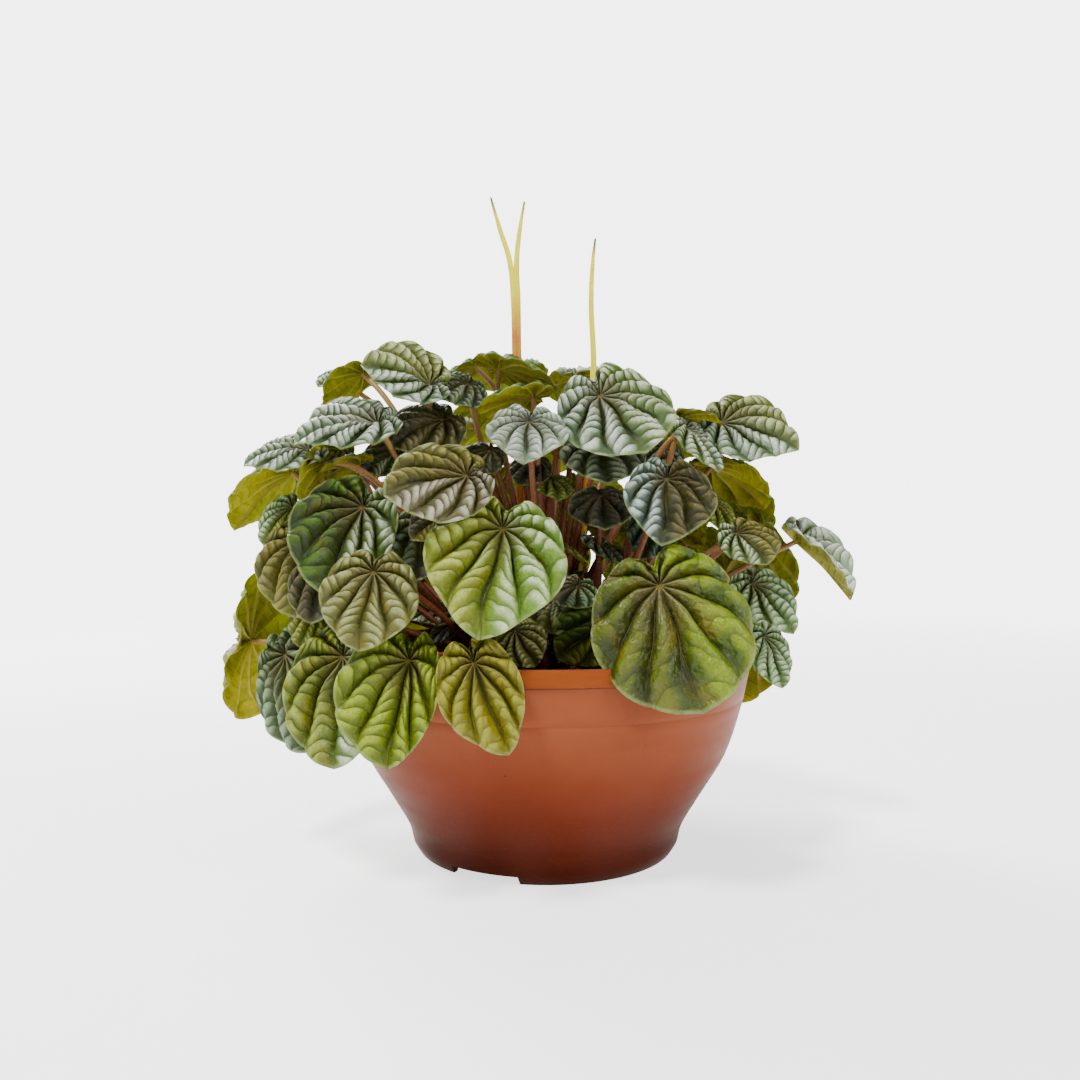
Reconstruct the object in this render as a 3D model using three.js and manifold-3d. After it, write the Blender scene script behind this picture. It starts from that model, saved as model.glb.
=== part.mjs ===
import * as THREE from "three";
import { mergeVertices } from "three/addons/utils/BufferGeometryUtils.js";
import Module from "manifold-3d";

// A peperomia with rippled leaves in its round plastic pot.
// Millimetres, +Z up. The origin is on the surface that the pot stands on, under the pot's middle.
// -Y is the front, where the biggest leaves hang over the rim.

const wasm = await Module();
wasm.setup();

// Driving dimensions of the pot
const POT_HEIGHT = 88.7;
const LIP_RADIUS = 91;
const LIP_BOTTOM = 82.3;
const LIP_ROUND = 0.8;
const WALL = 1.8;
const FOOT_RADIUS = 56.5;
const FOOT_WIDTH = 3;
const FOOT_SLOPE = 1;
const FLOOR_BOTTOM = 6;
const FLOOR_TOP = 8;
// radius and height of the points that the bowl's side passes through
const BOWL_SIDE = [[61.2, 12.5], [69.1, 26], [79.7, 44], [86.2, 63.8], [90, LIP_BOTTOM - 1]];
const FOOT_SIDE = [58.8, 4];
const POT_SEGMENTS = 36;
const NOTCHES = 3;
const NOTCH_WIDTH = 30;
const NOTCH_HEIGHT = 3.5;
const FIRST_NOTCH_DEGREES = -116;
const DRAIN_HOLES = 5;
const DRAIN_HOLE_RADIUS = 4;
const DRAIN_CIRCLE_RADIUS = 34;
const DRAIN_SIDES = 12;

// Driving dimensions of the soil and of what stands in it
const GAP = 0.3;
const SOIL_EDGE_HEIGHT = 73;
const SOIL_CENTRE_HEIGHT = 76;
const SOIL_RIM_WIDTH = 12;
const SOIL_RIM_RISE = 0.5;
const SPIKE_HOLE_RADIUS = 4;
const STEM_RADIUS = 7.5;
const STEM_FOOT = 62;
const STEM_TOP = 82;
const STEM_CIRCLE_RADIUS = 26;
const STEM_SIDES = 8;

// Driving dimensions of a leaf
const BLADE_THICKNESS = 0.8;
const VEINS = 6;
const RIPPLE = 0.018;
const VEIN_BEND = 0.35;
const FOLD_SOFTNESS = 0.03;
const LIFT_SOFTNESS = 0.063;
const PETIOLE_FOOT_RADIUS = 1.7;
const PETIOLE_TOP_RADIUS = 1.3;
const PETIOLE_FOOT_CIRCLE = 8;
const PETIOLE_FOOT_DEPTH = 4;
const PETIOLE_STEPS = 4;
const PETIOLE_SIDES = 3;
const LEAF_FORM = [0.4, 0.35, 0, 0.1];

// Colours and finishes
const POT_LOOK = { color: 0xb0643f, roughness: 0.45, metalness: 0 };
const SOIL_LOOK = { color: 0x2b211a, roughness: 0.95, metalness: 0 };
const LEAF_LOOK = { color: 0x7d9650, roughness: 0.55, metalness: 0 };
const SPIKE_LOOK = { color: 0xb9b04a, roughness: 0.6, metalness: 0 };

// The leaves that the front shows. Each row gives the leaf's name, where its stalk joins the blade,
// where its tip is, the way that its upper side faces, its width beside its length, its form
// (crown across, droop to the tip, fold in degrees, lift of the back lobes), how much wider its left
// half is, seen from above with the tip pointing away, and how pointed it is.
const FRONT_LEAVES = [
  ["centre_heart", [-16, -80, 140], [-24, -98, 100], [5, -95, 25], 0.92, [0.3, 0.4, 6, 0.1], 0, 0.6],
  ["olive_over_gap", [-29, -82, 159], [-58, -92, 151], [-5, -83, 56], 0.96, [0.3, 0.3, 0, 0.1], 0, 0.3],
  ["beige", [-62, -88, 124], [-66, -97, 96], [-2, -99, 15], 0.97, [0.5, 0.4, 0, 0.1], 0, 0.4],
  ["green_left", [-70, -66, 148], [-84, -76, 115], [-5, -97, 20], 0.88, [0.4, 0.3, 8, 0.1], -0.14, 0.3],
  ["bright_low", [-50, -84, 92], [-56, -98, 55], [-10, -98, 15], 0.75, [0.4, 0.4, 8, 0.1], -0.26, 0.2],
  ["narrow_low", [-26, -92, 92], [-13, -102, 61], [5, -98, 15], 0.68, [0.4, 0.4, 10, 0.1], -0.1, 0.5],
  ["biggest", [41, -82, 119], [55, -95, 74], [5, -98, 15], 1, [0.6, 0.4, 0, 0.2], 0, -0.1],
  ["two_tone", [46, -64, 159], [42, -80, 133], [0, -85, 50], 0.9, [0.5, 0.4, 8, 0.2], 0.1, 0.5],
  ["big_silver", [22, -42, 194], [39, -60, 169], [10, -88, 46], 1.12, [0.3, 0.3, 0, 0.7], 0.04, 0],
  ["small_silver", [-7, -52, 182], [-9, -64, 164], [0, -88, 45], 1.16, [0.5, 0.3, 12, 0.4], 0, 0.7],
  ["silver_top_left", [-48, -34, 200], [-75, -44, 206], [0, -78, 62], 0.98, [0.2, 0.2, 8, 0.3], -0.12, 0.4],
  ["silver_left", [-67, -50, 182], [-99, -58, 173], [0, -62, 78], 0.95, [0.3, 0.4, 0, 0.1], -0.3, 0.7],
  ["silver_far_left", [-95, -46, 172], [-121, -50, 165], [-5, -52, 85], 0.95, [0.4, 0.5, 0, 0], -0.1, 0.6],
  ["olive_far_left", [-109, -20, 165], [-138, -10, 140], [-60, 42, 65], 0.75, [0.4, 0.4, 0, 0], 0, 0.7],
  ["grey_hanging", [-98, -46, 136], [-99, -54, 104], [-15, -97, 15], 0.97, [0.5, 0.4, 0, 0], 0, 0.4],
  ["yellow_edge_on", [-126, -28, 93], [-117, 24, 83], [-95, 30, 10], 1, [0.2, 0.2, 8, 0], 0, 0.1],
  ["dark_low", [-106, -46, 89], [-93, -56, 51], [-60, -80, 15], 0.85, [0.4, 0.4, 0, 0], 0, 0.3],
  ["grey_low", [-78, -66, 91], [-80, -74, 49], [-15, -98, 12], 0.78, [0.4, 0.4, 8, 0], 0, 0.3],
  ["silver_right", [77, -14, 187], [109, -22, 174], [5, -76, 65], 0.98, [0.2, 0.3, 0, 0.1], 0.1, 0.8],
  ["folded_far_right", [113, -2, 135], [137, -6, 109], [64, -47, 61], 0.85, [0.1, 0.2, 30, 0.1], 0, 0.5],
  ["small_right", [79, -34, 138], [89, -45, 125], [20, -85, 50], 1.15, [0.5, 0.4, 0, 0.5], 0.2, 0.3],
  ["pale_right", [88, -24, 117], [103, -34, 96], [45, -85, 20], 0.9, [0.4, 0.3, 0, 0], 0, 0.8],
  ["pale_low_right", [89, -41, 96], [96, -44, 75], [55, -80, 15], 0.85, [0.4, 0.3, 0, 0], 0, 0.4],
  ["dark_silver", [23, -38, 177], [24, -54, 157], [5, -72, 68], 1.12, [0.5, 0.3, 0, 0.1], 0, 0.4],
  ["young_cup", [12, -56, 117], [5, -66, 110], [-10, -80, 60], 1.1, [0.2, 0.2, 0, 0.6], 0.1, 0.1],
  ["young_beige", [-12, -70, 101], [-4, -76, 88], [0, -95, 30], 0.95, [0.5, 0.4, 0, 0.1], 0, 0.3],
  ["yellow_low", [26, -52, 106], [4, -61, 89], [0, -97, 20], 0.8, [0.4, 0.3, 0, 0], 0, 0.3],
  ["dark_shelf", [23, -28, 154], [24, -44, 139], [0, -75, 66], 1.05, [0.4, 0.3, 0, 0.1], 0, 0.3],
  ["teal", [48, -26, 146], [39, -34, 127], [0, -95, 30], 0.8, [0.4, 0.3, 0, 0], 0, 0.3],
  ["purple_hanging", [-86, -60, 127], [-90, -67, 103], [-30, -95, 15], 0.9, [0.4, 0.3, 0, 0], 0, 0.3],
  ["purple_inner", [-47, -54, 143], [-51, -64, 119], [-10, -95, 30], 0.9, [0.4, 0.3, 0, 0], 0, 0.3],
  ["olive_inner", [-36, -62, 147], [-51, -70, 135], [-20, -80, 60], 0.9, [0.4, 0.3, 0, 0], 0, 0.3],
  ["purple_upper", [-43, -30, 186], [-64, -42, 173], [0, -75, 65], 1, [0.4, 0.3, 0, 0.1], 0, 0.3],
  ["striped_upper", [-33, -22, 202], [-45, -33, 194], [0, -80, 60], 1.2, [0.4, 0.3, 0, 0.1], 0, 0.3],
  ["dark_left", [-61, -34, 172], [-74, -44, 162], [0, -75, 65], 0.95, [0.4, 0.3, 0, 0.1], 0, 0.3],
  ["olive_crown_low", [-6, -26, 196], [-28, -42, 190], [-10, 30, 95], 0.95, [0.5, 0.4, 0, 0], 0, 0.3],
  ["olive_crown_up", [-20, -10, 211], [4, -28, 201], [10, 35, 93], 0.95, [0.5, 0.4, 0, 0], 0, 0.3],
  ["green_crown", [-32, 2, 214], [-46, -12, 204], [-20, 35, 90], 0.95, [0.4, 0.3, 0, 0], 0, 0.3],
  ["fold_upper_left", [-79, -18, 207], [-96, -14, 193], [-60, 45, 66], 0.8, [0.3, 0.3, 10, 0], 0, 0.3],
  ["grey_upper_left", [-88, 2, 210], [-101, -8, 203], [-20, -70, 70], 0.95, [0.4, 0.3, 0, 0.1], 0, 0.3],
  ["green_upper_left", [-90, 12, 205], [-103, 8, 193], [-50, 50, 70], 0.8, [0.4, 0.3, 0, 0], 0, 0.3],
  ["olive_right", [74, -6, 168], [100, 2, 149], [60, 45, 66], 0.85, [0.5, 0.5, 0, 0], 0, 0.3],
  ["striped_right", [60, -24, 183], [72, -33, 163], [50, -45, 74], 0.95, [0.4, 0.4, 0, 0], 0, 0.3],
  ["olive_rim", [-90, -46, 166], [-95, -52, 143], [-60, 40, 60], 0.9, [0.4, 0.3, 0, 0], 0, 0.3],
  ["striped_rim", [-105, -36, 149], [-116, -40, 133], [-30, -80, 40], 0.9, [0.4, 0.3, 0, 0], 0, 0.3],
  ["rim_right", [57, -18, 188], [77, -14, 183], [10, 40, 90], 0.8, [0.4, 0.3, 0, 0], 0, 0.3],
  ["side_right", [97, 4, 105], [99, 6, 73], [98, 5, 12], 0.9, [0.4, 0.3, 0, 0], 0, 0.3],
];

// The leaves of the back and the sides, and small ones inside, stand in tiers, like shingles round a
// dome. A tier gives how many leaves it has, its first and last direction in degrees round the pot,
// the radius and height where the stalks join the blades, the radius and height that the tips reach,
// how much the upper sides face the sky, and how far every other leaf stands above its neighbours.
const TIERS = [
  { name: "hanging", count: 7, from: 28, to: 172, joint: [96, 95], tip: [100, 54], up: 0.15, step: 0 },
  { name: "side", count: 7, from: 16, to: 160, joint: [90, 136], tip: [103, 99], up: 0.3, step: 0 },
  { name: "shoulder", count: 6, from: 14, to: 168, joint: [76, 166], tip: [99, 139], up: 0.65, step: 0 },
  { name: "crown", count: 5, from: 20, to: 146, joint: [50, 194], tip: [86, 178], up: 1.6, step: 5 },
  { name: "top", count: 2, from: 54, to: 122, joint: [22, 212], tip: [58, 208], up: 4, step: 3 },
  { name: "inner_high", count: 5, from: 24, to: 156, joint: [52, 152], tip: [74, 130], up: 0.6, step: 0 },
  { name: "inner_low", count: 5, from: 20, to: 160, joint: [60, 114], tip: [76, 94], up: 0.4, step: 0 },
  { name: "inner_front", count: 5, from: 207, to: 344, joint: [40, 108], tip: [58, 98], up: 1.2, step: 0 },
];
const SHINGLE_DEGREES = 14;
const SIDE_STRETCH = 1.12;
// how much the leaves of a tier differ in radius, height, direction and width
const UNEVEN_TURN = 5;
const UNEVEN_RADIUS = 2;
const UNEVEN_HEIGHT = 3;
const UNEVEN_DEGREES = 5;
const TIER_WIDTH = 0.92;
const UNEVEN_WIDTH = 0.08;
const TIER_POINT = 0.4;
// a leaf belongs to the centre plantlet when its height passes its distance from the middle by this
const CENTRE_RISE = 132;

// Flower spikes: the points that the stalk and its branches pass through, and their radii
const SPIKE_FOOT_RADIUS = 2;
const FORK_RADIUS = 1.6;
const BRANCH_RADIUS = 1.5;
const SPIKE_TIP_RADIUS = 0.7;
const SPIKE_SIDES = 6;
const SPIKE_STEPS = 8;
const BRANCH_STEPS = 4;
const LEFT_SPIKE = [[-9, 12, STEM_FOOT], [-10, 13, 120], [-13, 4, 215], [-14, 2, 256]];
const LEFT_BRANCH = [[-14, 2, 252], [-16, 2, 260], [-20, 2, 275], [-25, 2, 290]];
const RIGHT_BRANCH = [[-14, 2, 252], [-13, 2, 260], [-11, 2, 275], [-9.5, 2, 288]];
const RIGHT_SPIKE = [[13, -2, STEM_FOOT], [16, -8, 130], [21, -10, 211], [20, -10, 240], [22, -10, 269]];

const vector = (values) => new THREE.Vector3(...values);
const radians = THREE.MathUtils.degToRad;

// Solids

function solidOf(geometry) {
  const bare = geometry.clone();
  for (const name of Object.keys(bare.attributes)) {
    if (name !== "position") bare.deleteAttribute(name);
  }
  const merged = mergeVertices(bare, 1e-4);
  return new wasm.Manifold(new wasm.Mesh({
    numProp: 3,
    vertProperties: new Float32Array(merged.attributes.position.array),
    triVerts: new Uint32Array(merged.index.array),
  }));
}

function geometryOf(solid) {
  const mesh = solid.getMesh();
  const geometry = new THREE.BufferGeometry();
  geometry.setAttribute("position", new THREE.BufferAttribute(new Float32Array(mesh.vertProperties), 3));
  geometry.setIndex(new THREE.BufferAttribute(new Uint32Array(mesh.triVerts), 1));
  geometry.computeVertexNormals();
  return geometry;
}

function joinAll(solids) {
  return solids.reduce((whole, solid) => whole.add(solid));
}

// Stalks that lean together can seal a small hollow between them, which is filled here
function withoutHollows(solid) {
  return joinAll(solid.decompose().filter((shell) => shell.volume() > 0));
}

function meshOf(name, geometry, look) {
  const mesh = new THREE.Mesh(geometry, new THREE.MeshStandardMaterial(look));
  mesh.name = name;
  return mesh;
}

// A solid of revolution about the vertical axis, from its outline of [radius, height] points
function turned(outline, segments) {
  const points = outline.map(([radius, height]) => new THREE.Vector2(radius, height));
  return new THREE.LatheGeometry(points, segments).rotateX(Math.PI / 2);
}

function uprightCylinder(x, y, bottom, top, radius, sides) {
  const cylinder = new THREE.CylinderGeometry(radius, radius, top - bottom, sides).rotateX(Math.PI / 2);
  return cylinder.translate(x, y, (bottom + top) / 2);
}

// A round stalk along a curve, thinner at its far end, closed at both ends
function stalk(curve, footRadius, tipRadius, steps, sides) {
  const frames = curve.computeFrenetFrames(steps, false);
  const positions = [];
  const faces = [];
  for (let step = 0; step <= steps; step += 1) {
    const along = step / steps;
    const centre = curve.getPointAt(along);
    const radius = footRadius + (tipRadius - footRadius) * along;
    for (let side = 0; side < sides; side += 1) {
      const turn = (2 * Math.PI * side) / sides;
      const point = centre.clone()
        .addScaledVector(frames.normals[step], radius * Math.cos(turn))
        .addScaledVector(frames.binormals[step], radius * Math.sin(turn));
      positions.push(...point.toArray());
    }
  }
  const at = (step, side) => step * sides + (side % sides);
  for (let step = 0; step < steps; step += 1) {
    for (let side = 0; side < sides; side += 1) {
      faces.push(at(step, side), at(step, side + 1), at(step + 1, side + 1));
      faces.push(at(step, side), at(step + 1, side + 1), at(step + 1, side));
    }
  }
  for (let side = 1; side < sides - 1; side += 1) {
    faces.push(at(0, 0), at(0, side + 1), at(0, side));
    faces.push(at(steps, 0), at(steps, side), at(steps, side + 1));
  }
  const geometry = new THREE.BufferGeometry();
  geometry.setAttribute("position", new THREE.Float32BufferAttribute(positions, 3));
  geometry.setIndex(faces);
  return geometry;
}

// Leaf blades. A blade is drawn flat first: u runs from the joint (0) to the tip (1), v to its left,
// w up from its upper side. Then it is folded, crowned and drooped, and set between joint and tip.

// The outline is a circle round a point ahead of the joint, drawn out at the tip, flattened beside it
// on a pointed leaf, and notched between the back lobes. Lengths are shares of the leaf's length.
const OUTLINE_CENTRE = 0.33;
const OUTLINE_RADIUS = 0.62;
const TIP_LENGTH = 0.05;
const TIP_ANGLE = 0.12;
const TAPER_DEPTH = 0.12;
const TAPER_PLACE = 0.5;
const TAPER_ANGLE = 0.3;
const LOBE_NOTCH_DEPTH = 0.15;
const LOBE_NOTCH_ANGLE = 0.28;

function bladeRadius(angle, point) {
  const turn = Math.abs(angle);
  const beside = OUTLINE_CENTRE * Math.sin(turn);
  const circle = OUTLINE_CENTRE * Math.cos(turn) + Math.sqrt(OUTLINE_RADIUS ** 2 - beside ** 2);
  const tip = TIP_LENGTH * Math.exp(-turn / TIP_ANGLE);
  const taper = TAPER_DEPTH * point * Math.exp(-(((turn - TAPER_PLACE) / TAPER_ANGLE) ** 2));
  const notch = LOBE_NOTCH_DEPTH * Math.exp(-(((Math.PI - turn) / LOBE_NOTCH_ANGLE) ** 2));
  return circle + tip - taper - notch;
}

function bentBladePoint(leaf, along, out, rise) {
  const [crown, droop, foldDegrees, lift] = leaf.form;
  const angle = along - VEIN_BEND * out * Math.sin(along);
  const radius = out * bladeRadius(angle, leaf.point);
  let u = radius * Math.cos(angle);
  let v = radius * Math.sin(angle) * leaf.width;
  v *= v > 0 ? 1 + leaf.skew : 1 - leaf.skew;
  let w = rise + (lift * (Math.hypot(u, LIFT_SOFTNESS) - u)) / 2;
  const fold = radians(foldDegrees);
  w += (Math.hypot(v, FOLD_SOFTNESS) - FOLD_SOFTNESS) * Math.sin(fold);
  v *= Math.cos(fold);
  const across = 1 / crown + w;
  w = across * Math.cos(crown * v) - 1 / crown;
  v = across * Math.sin(crown * v);
  const over = 1 / droop + w;
  w = over * Math.cos(droop * u) - 1 / droop;
  u = over * Math.sin(droop * u);
  const half = droop / 2;
  return [u * Math.cos(half) - w * Math.sin(half), v, u * Math.sin(half) + w * Math.cos(half)];
}

// A leaf is one closed skin: the blade's upper side, its under side, and the stalk that grows out of
// the under side at the joint and runs down to the stem
function leafGeometry(leaf, curve) {
  const droop = leaf.form[1];
  const scale = (leaf.length * droop) / (2 * Math.sin(droop / 2));
  const half = BLADE_THICKNESS / 2 / scale;
  const columns = 2 * VEINS;
  const positions = [];
  const bladePlace = (along, out, rise) => {
    const [u, v, w] = bentBladePoint(leaf, along, out, rise);
    return leaf.joint.clone()
      .addScaledVector(leaf.ahead, u * scale)
      .addScaledVector(leaf.left, v * scale)
      .addScaledVector(leaf.up, w * scale);
  };
  const addRings = (face) => {
    for (const [out, depth] of [[0.5, 1], [1, 0.6]]) {
      for (let column = 0; column < columns; column += 1) {
        const ripple = (column % 2 ? RIPPLE : -RIPPLE) * depth;
        const place = bladePlace(-Math.PI + (2 * Math.PI * column) / columns, out, face + ripple);
        positions.push(...place.toArray());
      }
    }
  };
  positions.push(...bladePlace(0, 0, half - RIPPLE).toArray());
  addRings(half);
  addRings(-half);
  addStalkRings(positions, leaf, curve, bladePlace(0, 0, -half - RIPPLE));
  const geometry = new THREE.BufferGeometry();
  geometry.setAttribute("position", new THREE.Float32BufferAttribute(positions, 3));
  geometry.setIndex([...bladeFaces(columns), ...stalkFaces(1 + 4 * columns)]);
  return geometry;
}

function addStalkRings(positions, leaf, curve, top) {
  const across = leaf.ahead.clone().negate();
  for (let step = 0; step <= PETIOLE_STEPS; step += 1) {
    const along = step / PETIOLE_STEPS;
    const centre = step ? curve.getPointAt(1 - along) : top;
    const down = step ? curve.getTangentAt(1 - along).negate() : leaf.up.clone().negate();
    across.addScaledVector(down, -across.dot(down)).normalize();
    const beside = across.clone().cross(down);
    const radius = PETIOLE_TOP_RADIUS + (PETIOLE_FOOT_RADIUS - PETIOLE_TOP_RADIUS) * along;
    for (let side = 0; side < PETIOLE_SIDES; side += 1) {
      const turn = (2 * Math.PI * side) / PETIOLE_SIDES;
      const point = centre.clone()
        .addScaledVector(across, radius * Math.cos(turn))
        .addScaledVector(beside, radius * Math.sin(turn));
      positions.push(...point.toArray());
    }
  }
}

function bladeFaces(columns) {
  const faces = [];
  const under = 2 * columns;
  const stalkTop = 1 + 4 * columns;
  const nearest = (column) => Math.round((column * PETIOLE_SIDES) / columns) % PETIOLE_SIDES;
  for (let column = 0; column < columns; column += 1) {
    const next = (column + 1) % columns;
    const inner = 1 + column;
    const innerNext = 1 + next;
    const rim = inner + columns;
    const rimNext = innerNext + columns;
    const stalkSide = stalkTop + nearest(column);
    const stalkNext = stalkTop + nearest(next);
    faces.push(0, inner, innerNext);
    faces.push(stalkSide, under + innerNext, under + inner);
    if (stalkNext !== stalkSide) faces.push(stalkSide, stalkNext, under + innerNext);
    for (const [a, b, c] of [[inner, rim, rimNext], [inner, rimNext, innerNext]]) {
      faces.push(a, b, c);
      faces.push(under + a, under + c, under + b);
    }
    faces.push(rim, under + rim, under + rimNext);
    faces.push(rim, under + rimNext, rimNext);
  }
  return faces;
}

function stalkFaces(start) {
  const faces = [];
  const at = (step, side) => start + step * PETIOLE_SIDES + (side % PETIOLE_SIDES);
  for (let step = 0; step < PETIOLE_STEPS; step += 1) {
    for (let side = 0; side < PETIOLE_SIDES; side += 1) {
      faces.push(at(step, side), at(step + 1, side), at(step + 1, side + 1));
      faces.push(at(step, side), at(step + 1, side + 1), at(step, side + 1));
    }
  }
  for (let side = 1; side < PETIOLE_SIDES - 1; side += 1) {
    faces.push(at(PETIOLE_STEPS, 0), at(PETIOLE_STEPS, side + 1), at(PETIOLE_STEPS, side));
  }
  return faces;
}

function makeLeaf(name, joint, tip, facing, width, form, skew, point) {
  const leaf = { name, width, form, skew, point, joint: vector(joint), tip: vector(tip) };
  leaf.ahead = leaf.tip.clone().sub(leaf.joint);
  leaf.length = leaf.ahead.length();
  leaf.ahead.normalize();
  leaf.up = vector(facing);
  leaf.up.addScaledVector(leaf.ahead, -leaf.up.dot(leaf.ahead)).normalize();
  leaf.left = leaf.up.clone().cross(leaf.ahead);
  return leaf;
}

function onDome(radius, height, degrees) {
  const turn = radians(degrees);
  const x = radius * Math.cos(turn) * SIDE_STRETCH;
  return [x, radius * Math.sin(turn), height];
}

function tierLeaves(tier) {
  const leaves = [];
  for (let number = 0; number < tier.count; number += 1) {
    const degrees = tier.from + ((tier.to - tier.from) * number) / (tier.count - 1);
    const uneven = Math.sin(UNEVEN_TURN * number + tier.count);
    const step = number % 2 ? tier.step : -tier.step;
    const wider = UNEVEN_RADIUS * uneven;
    const higher = UNEVEN_HEIGHT * uneven;
    const joint = onDome(tier.joint[0] + wider, tier.joint[1] + higher + step, degrees);
    const tipDegrees = degrees + UNEVEN_DEGREES * uneven;
    const tip = onDome(tier.tip[0] + wider, tier.tip[1] - higher + step, tipDegrees);
    const facing = radians(degrees + SHINGLE_DEGREES);
    const up = [Math.cos(facing), Math.sin(facing), tier.up];
    const width = TIER_WIDTH + UNEVEN_WIDTH * uneven;
    leaves.push(makeLeaf(`${tier.name}_${number}`, joint, tip, up, width, LEAF_FORM, 0, TIER_POINT));
  }
  return leaves;
}

// Plantlets: one in the middle of the pot and six round it, each a short stem with its leaves

const PLANTLETS = [
  { name: "plantlet_centre", degrees: null },
  { name: "plantlet_front", degrees: -90 },
  { name: "plantlet_front_right", degrees: -30 },
  { name: "plantlet_back_right", degrees: 30 },
  { name: "plantlet_back", degrees: 90 },
  { name: "plantlet_back_left", degrees: 150 },
  { name: "plantlet_front_left", degrees: 210 },
];

function stemPlace(plantlet) {
  if (plantlet.degrees === null) return [0, 0];
  const turn = radians(plantlet.degrees);
  return [STEM_CIRCLE_RADIUS * Math.cos(turn), STEM_CIRCLE_RADIUS * Math.sin(turn)];
}

// Leaves high over the middle belong to the centre plantlet, and the others to the nearest one
function plantletOf(leaf) {
  const reach = Math.hypot(leaf.joint.x, leaf.joint.y);
  if (leaf.joint.z - reach > CENTRE_RISE) return PLANTLETS[0];
  const [, ...around] = PLANTLETS;
  const degrees = THREE.MathUtils.radToDeg(Math.atan2(leaf.joint.y, leaf.joint.x));
  const sector = Math.round(((degrees - around[0].degrees) * around.length) / 360);
  return around[(sector + around.length) % around.length];
}

// A stalk leaves the stem upwards and outwards, and arches over to meet its blade from below
const UPWARD = 0.45;
const OUTWARD = 0.65;
const FIRST_BEND_SHARE = 0.35;
const LAST_BEND_SHARE = 0.28;
const FROM_BEHIND = 0.25;

function petioleCurve(leaf, plantlet) {
  const [x, y] = stemPlace(plantlet);
  const stemTop = new THREE.Vector3(x, y, STEM_TOP - PETIOLE_FOOT_DEPTH);
  const toLeaf = leaf.joint.clone().sub(stemTop).normalize();
  const outward = new THREE.Vector3(toLeaf.x, toLeaf.y, 0);
  const foot = stemTop.clone().addScaledVector(outward, PETIOLE_FOOT_CIRCLE);
  const span = foot.distanceTo(leaf.joint);
  const rising = new THREE.Vector3(0, 0, UPWARD).addScaledVector(toLeaf, OUTWARD);
  const firstBend = foot.clone().addScaledVector(rising, FIRST_BEND_SHARE * span);
  const arriving = leaf.up.clone().addScaledVector(leaf.ahead, FROM_BEHIND);
  const lastBend = leaf.joint.clone().addScaledVector(arriving, -LAST_BEND_SHARE * span);
  return new THREE.CubicBezierCurve3(foot, firstBend, lastBend, leaf.joint);
}

function plantletMesh(plantlet, leaves) {
  const [x, y] = stemPlace(plantlet);
  const stem = solidOf(uprightCylinder(x, y, STEM_FOOT, STEM_TOP, STEM_RADIUS, STEM_SIDES));
  const own = leaves.filter((leaf) => plantletOf(leaf) === plantlet);
  const grown = own.map((leaf) => solidOf(leafGeometry(leaf, petioleCurve(leaf, plantlet))));
  return meshOf(plantlet.name, geometryOf(withoutHollows(joinAll([stem, ...grown]))), LEAF_LOOK);
}

// Flower spikes

function spikeMesh(name, stalks) {
  const solids = stalks.map(([points, footRadius, tipRadius, steps]) => {
    const curve = new THREE.CatmullRomCurve3(points.map(vector));
    return solidOf(stalk(curve, footRadius, tipRadius, steps, SPIKE_SIDES));
  });
  return meshOf(name, geometryOf(joinAll(solids)), SPIKE_LOOK);
}

// Pot and soil

function bowlPoints(inset) {
  const points = BOWL_SIDE.map(([radius, height]) => new THREE.Vector2(radius - inset, height));
  return new THREE.SplineCurve(points).getPoints(4).map((point) => [point.x, point.y]);
}

function potMesh() {
  const lipInner = LIP_RADIUS - WALL - LIP_ROUND;
  const outline = [
    [0, FLOOR_BOTTOM],
    [FOOT_RADIUS - FOOT_WIDTH - FOOT_SLOPE, FLOOR_BOTTOM],
    [FOOT_RADIUS - FOOT_WIDTH, 0],
    [FOOT_RADIUS, 0],
    FOOT_SIDE,
    ...bowlPoints(0),
    [LIP_RADIUS, LIP_BOTTOM],
    [LIP_RADIUS, POT_HEIGHT - LIP_ROUND],
    [LIP_RADIUS - LIP_ROUND, POT_HEIGHT],
    [lipInner, POT_HEIGHT],
    ...bowlPoints(WALL).reverse(),
    [FOOT_RADIUS, FLOOR_TOP],
    [0, FLOOR_TOP],
  ];
  let solid = solidOf(turned(outline, POT_SEGMENTS));
  for (let number = 0; number < NOTCHES; number += 1) {
    const turn = radians(FIRST_NOTCH_DEGREES + (360 * number) / NOTCHES);
    const notch = new THREE.BoxGeometry(4 * FOOT_WIDTH, NOTCH_WIDTH, 2 * NOTCH_HEIGHT);
    notch.translate(FOOT_RADIUS, 0, 0).rotateZ(turn);
    solid = solid.subtract(solidOf(notch));
  }
  for (let number = 0; number < DRAIN_HOLES; number += 1) {
    const turn = (2 * Math.PI * number) / DRAIN_HOLES;
    const x = DRAIN_CIRCLE_RADIUS * Math.cos(turn);
    const y = DRAIN_CIRCLE_RADIUS * Math.sin(turn);
    const [bottom, top] = [FLOOR_BOTTOM - WALL, FLOOR_TOP + WALL];
    const hole = uprightCylinder(x, y, bottom, top, DRAIN_HOLE_RADIUS, DRAIN_SIDES);
    solid = solid.subtract(solidOf(hole));
  }
  return meshOf("pot", geometryOf(solid), POT_LOOK);
}

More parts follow.
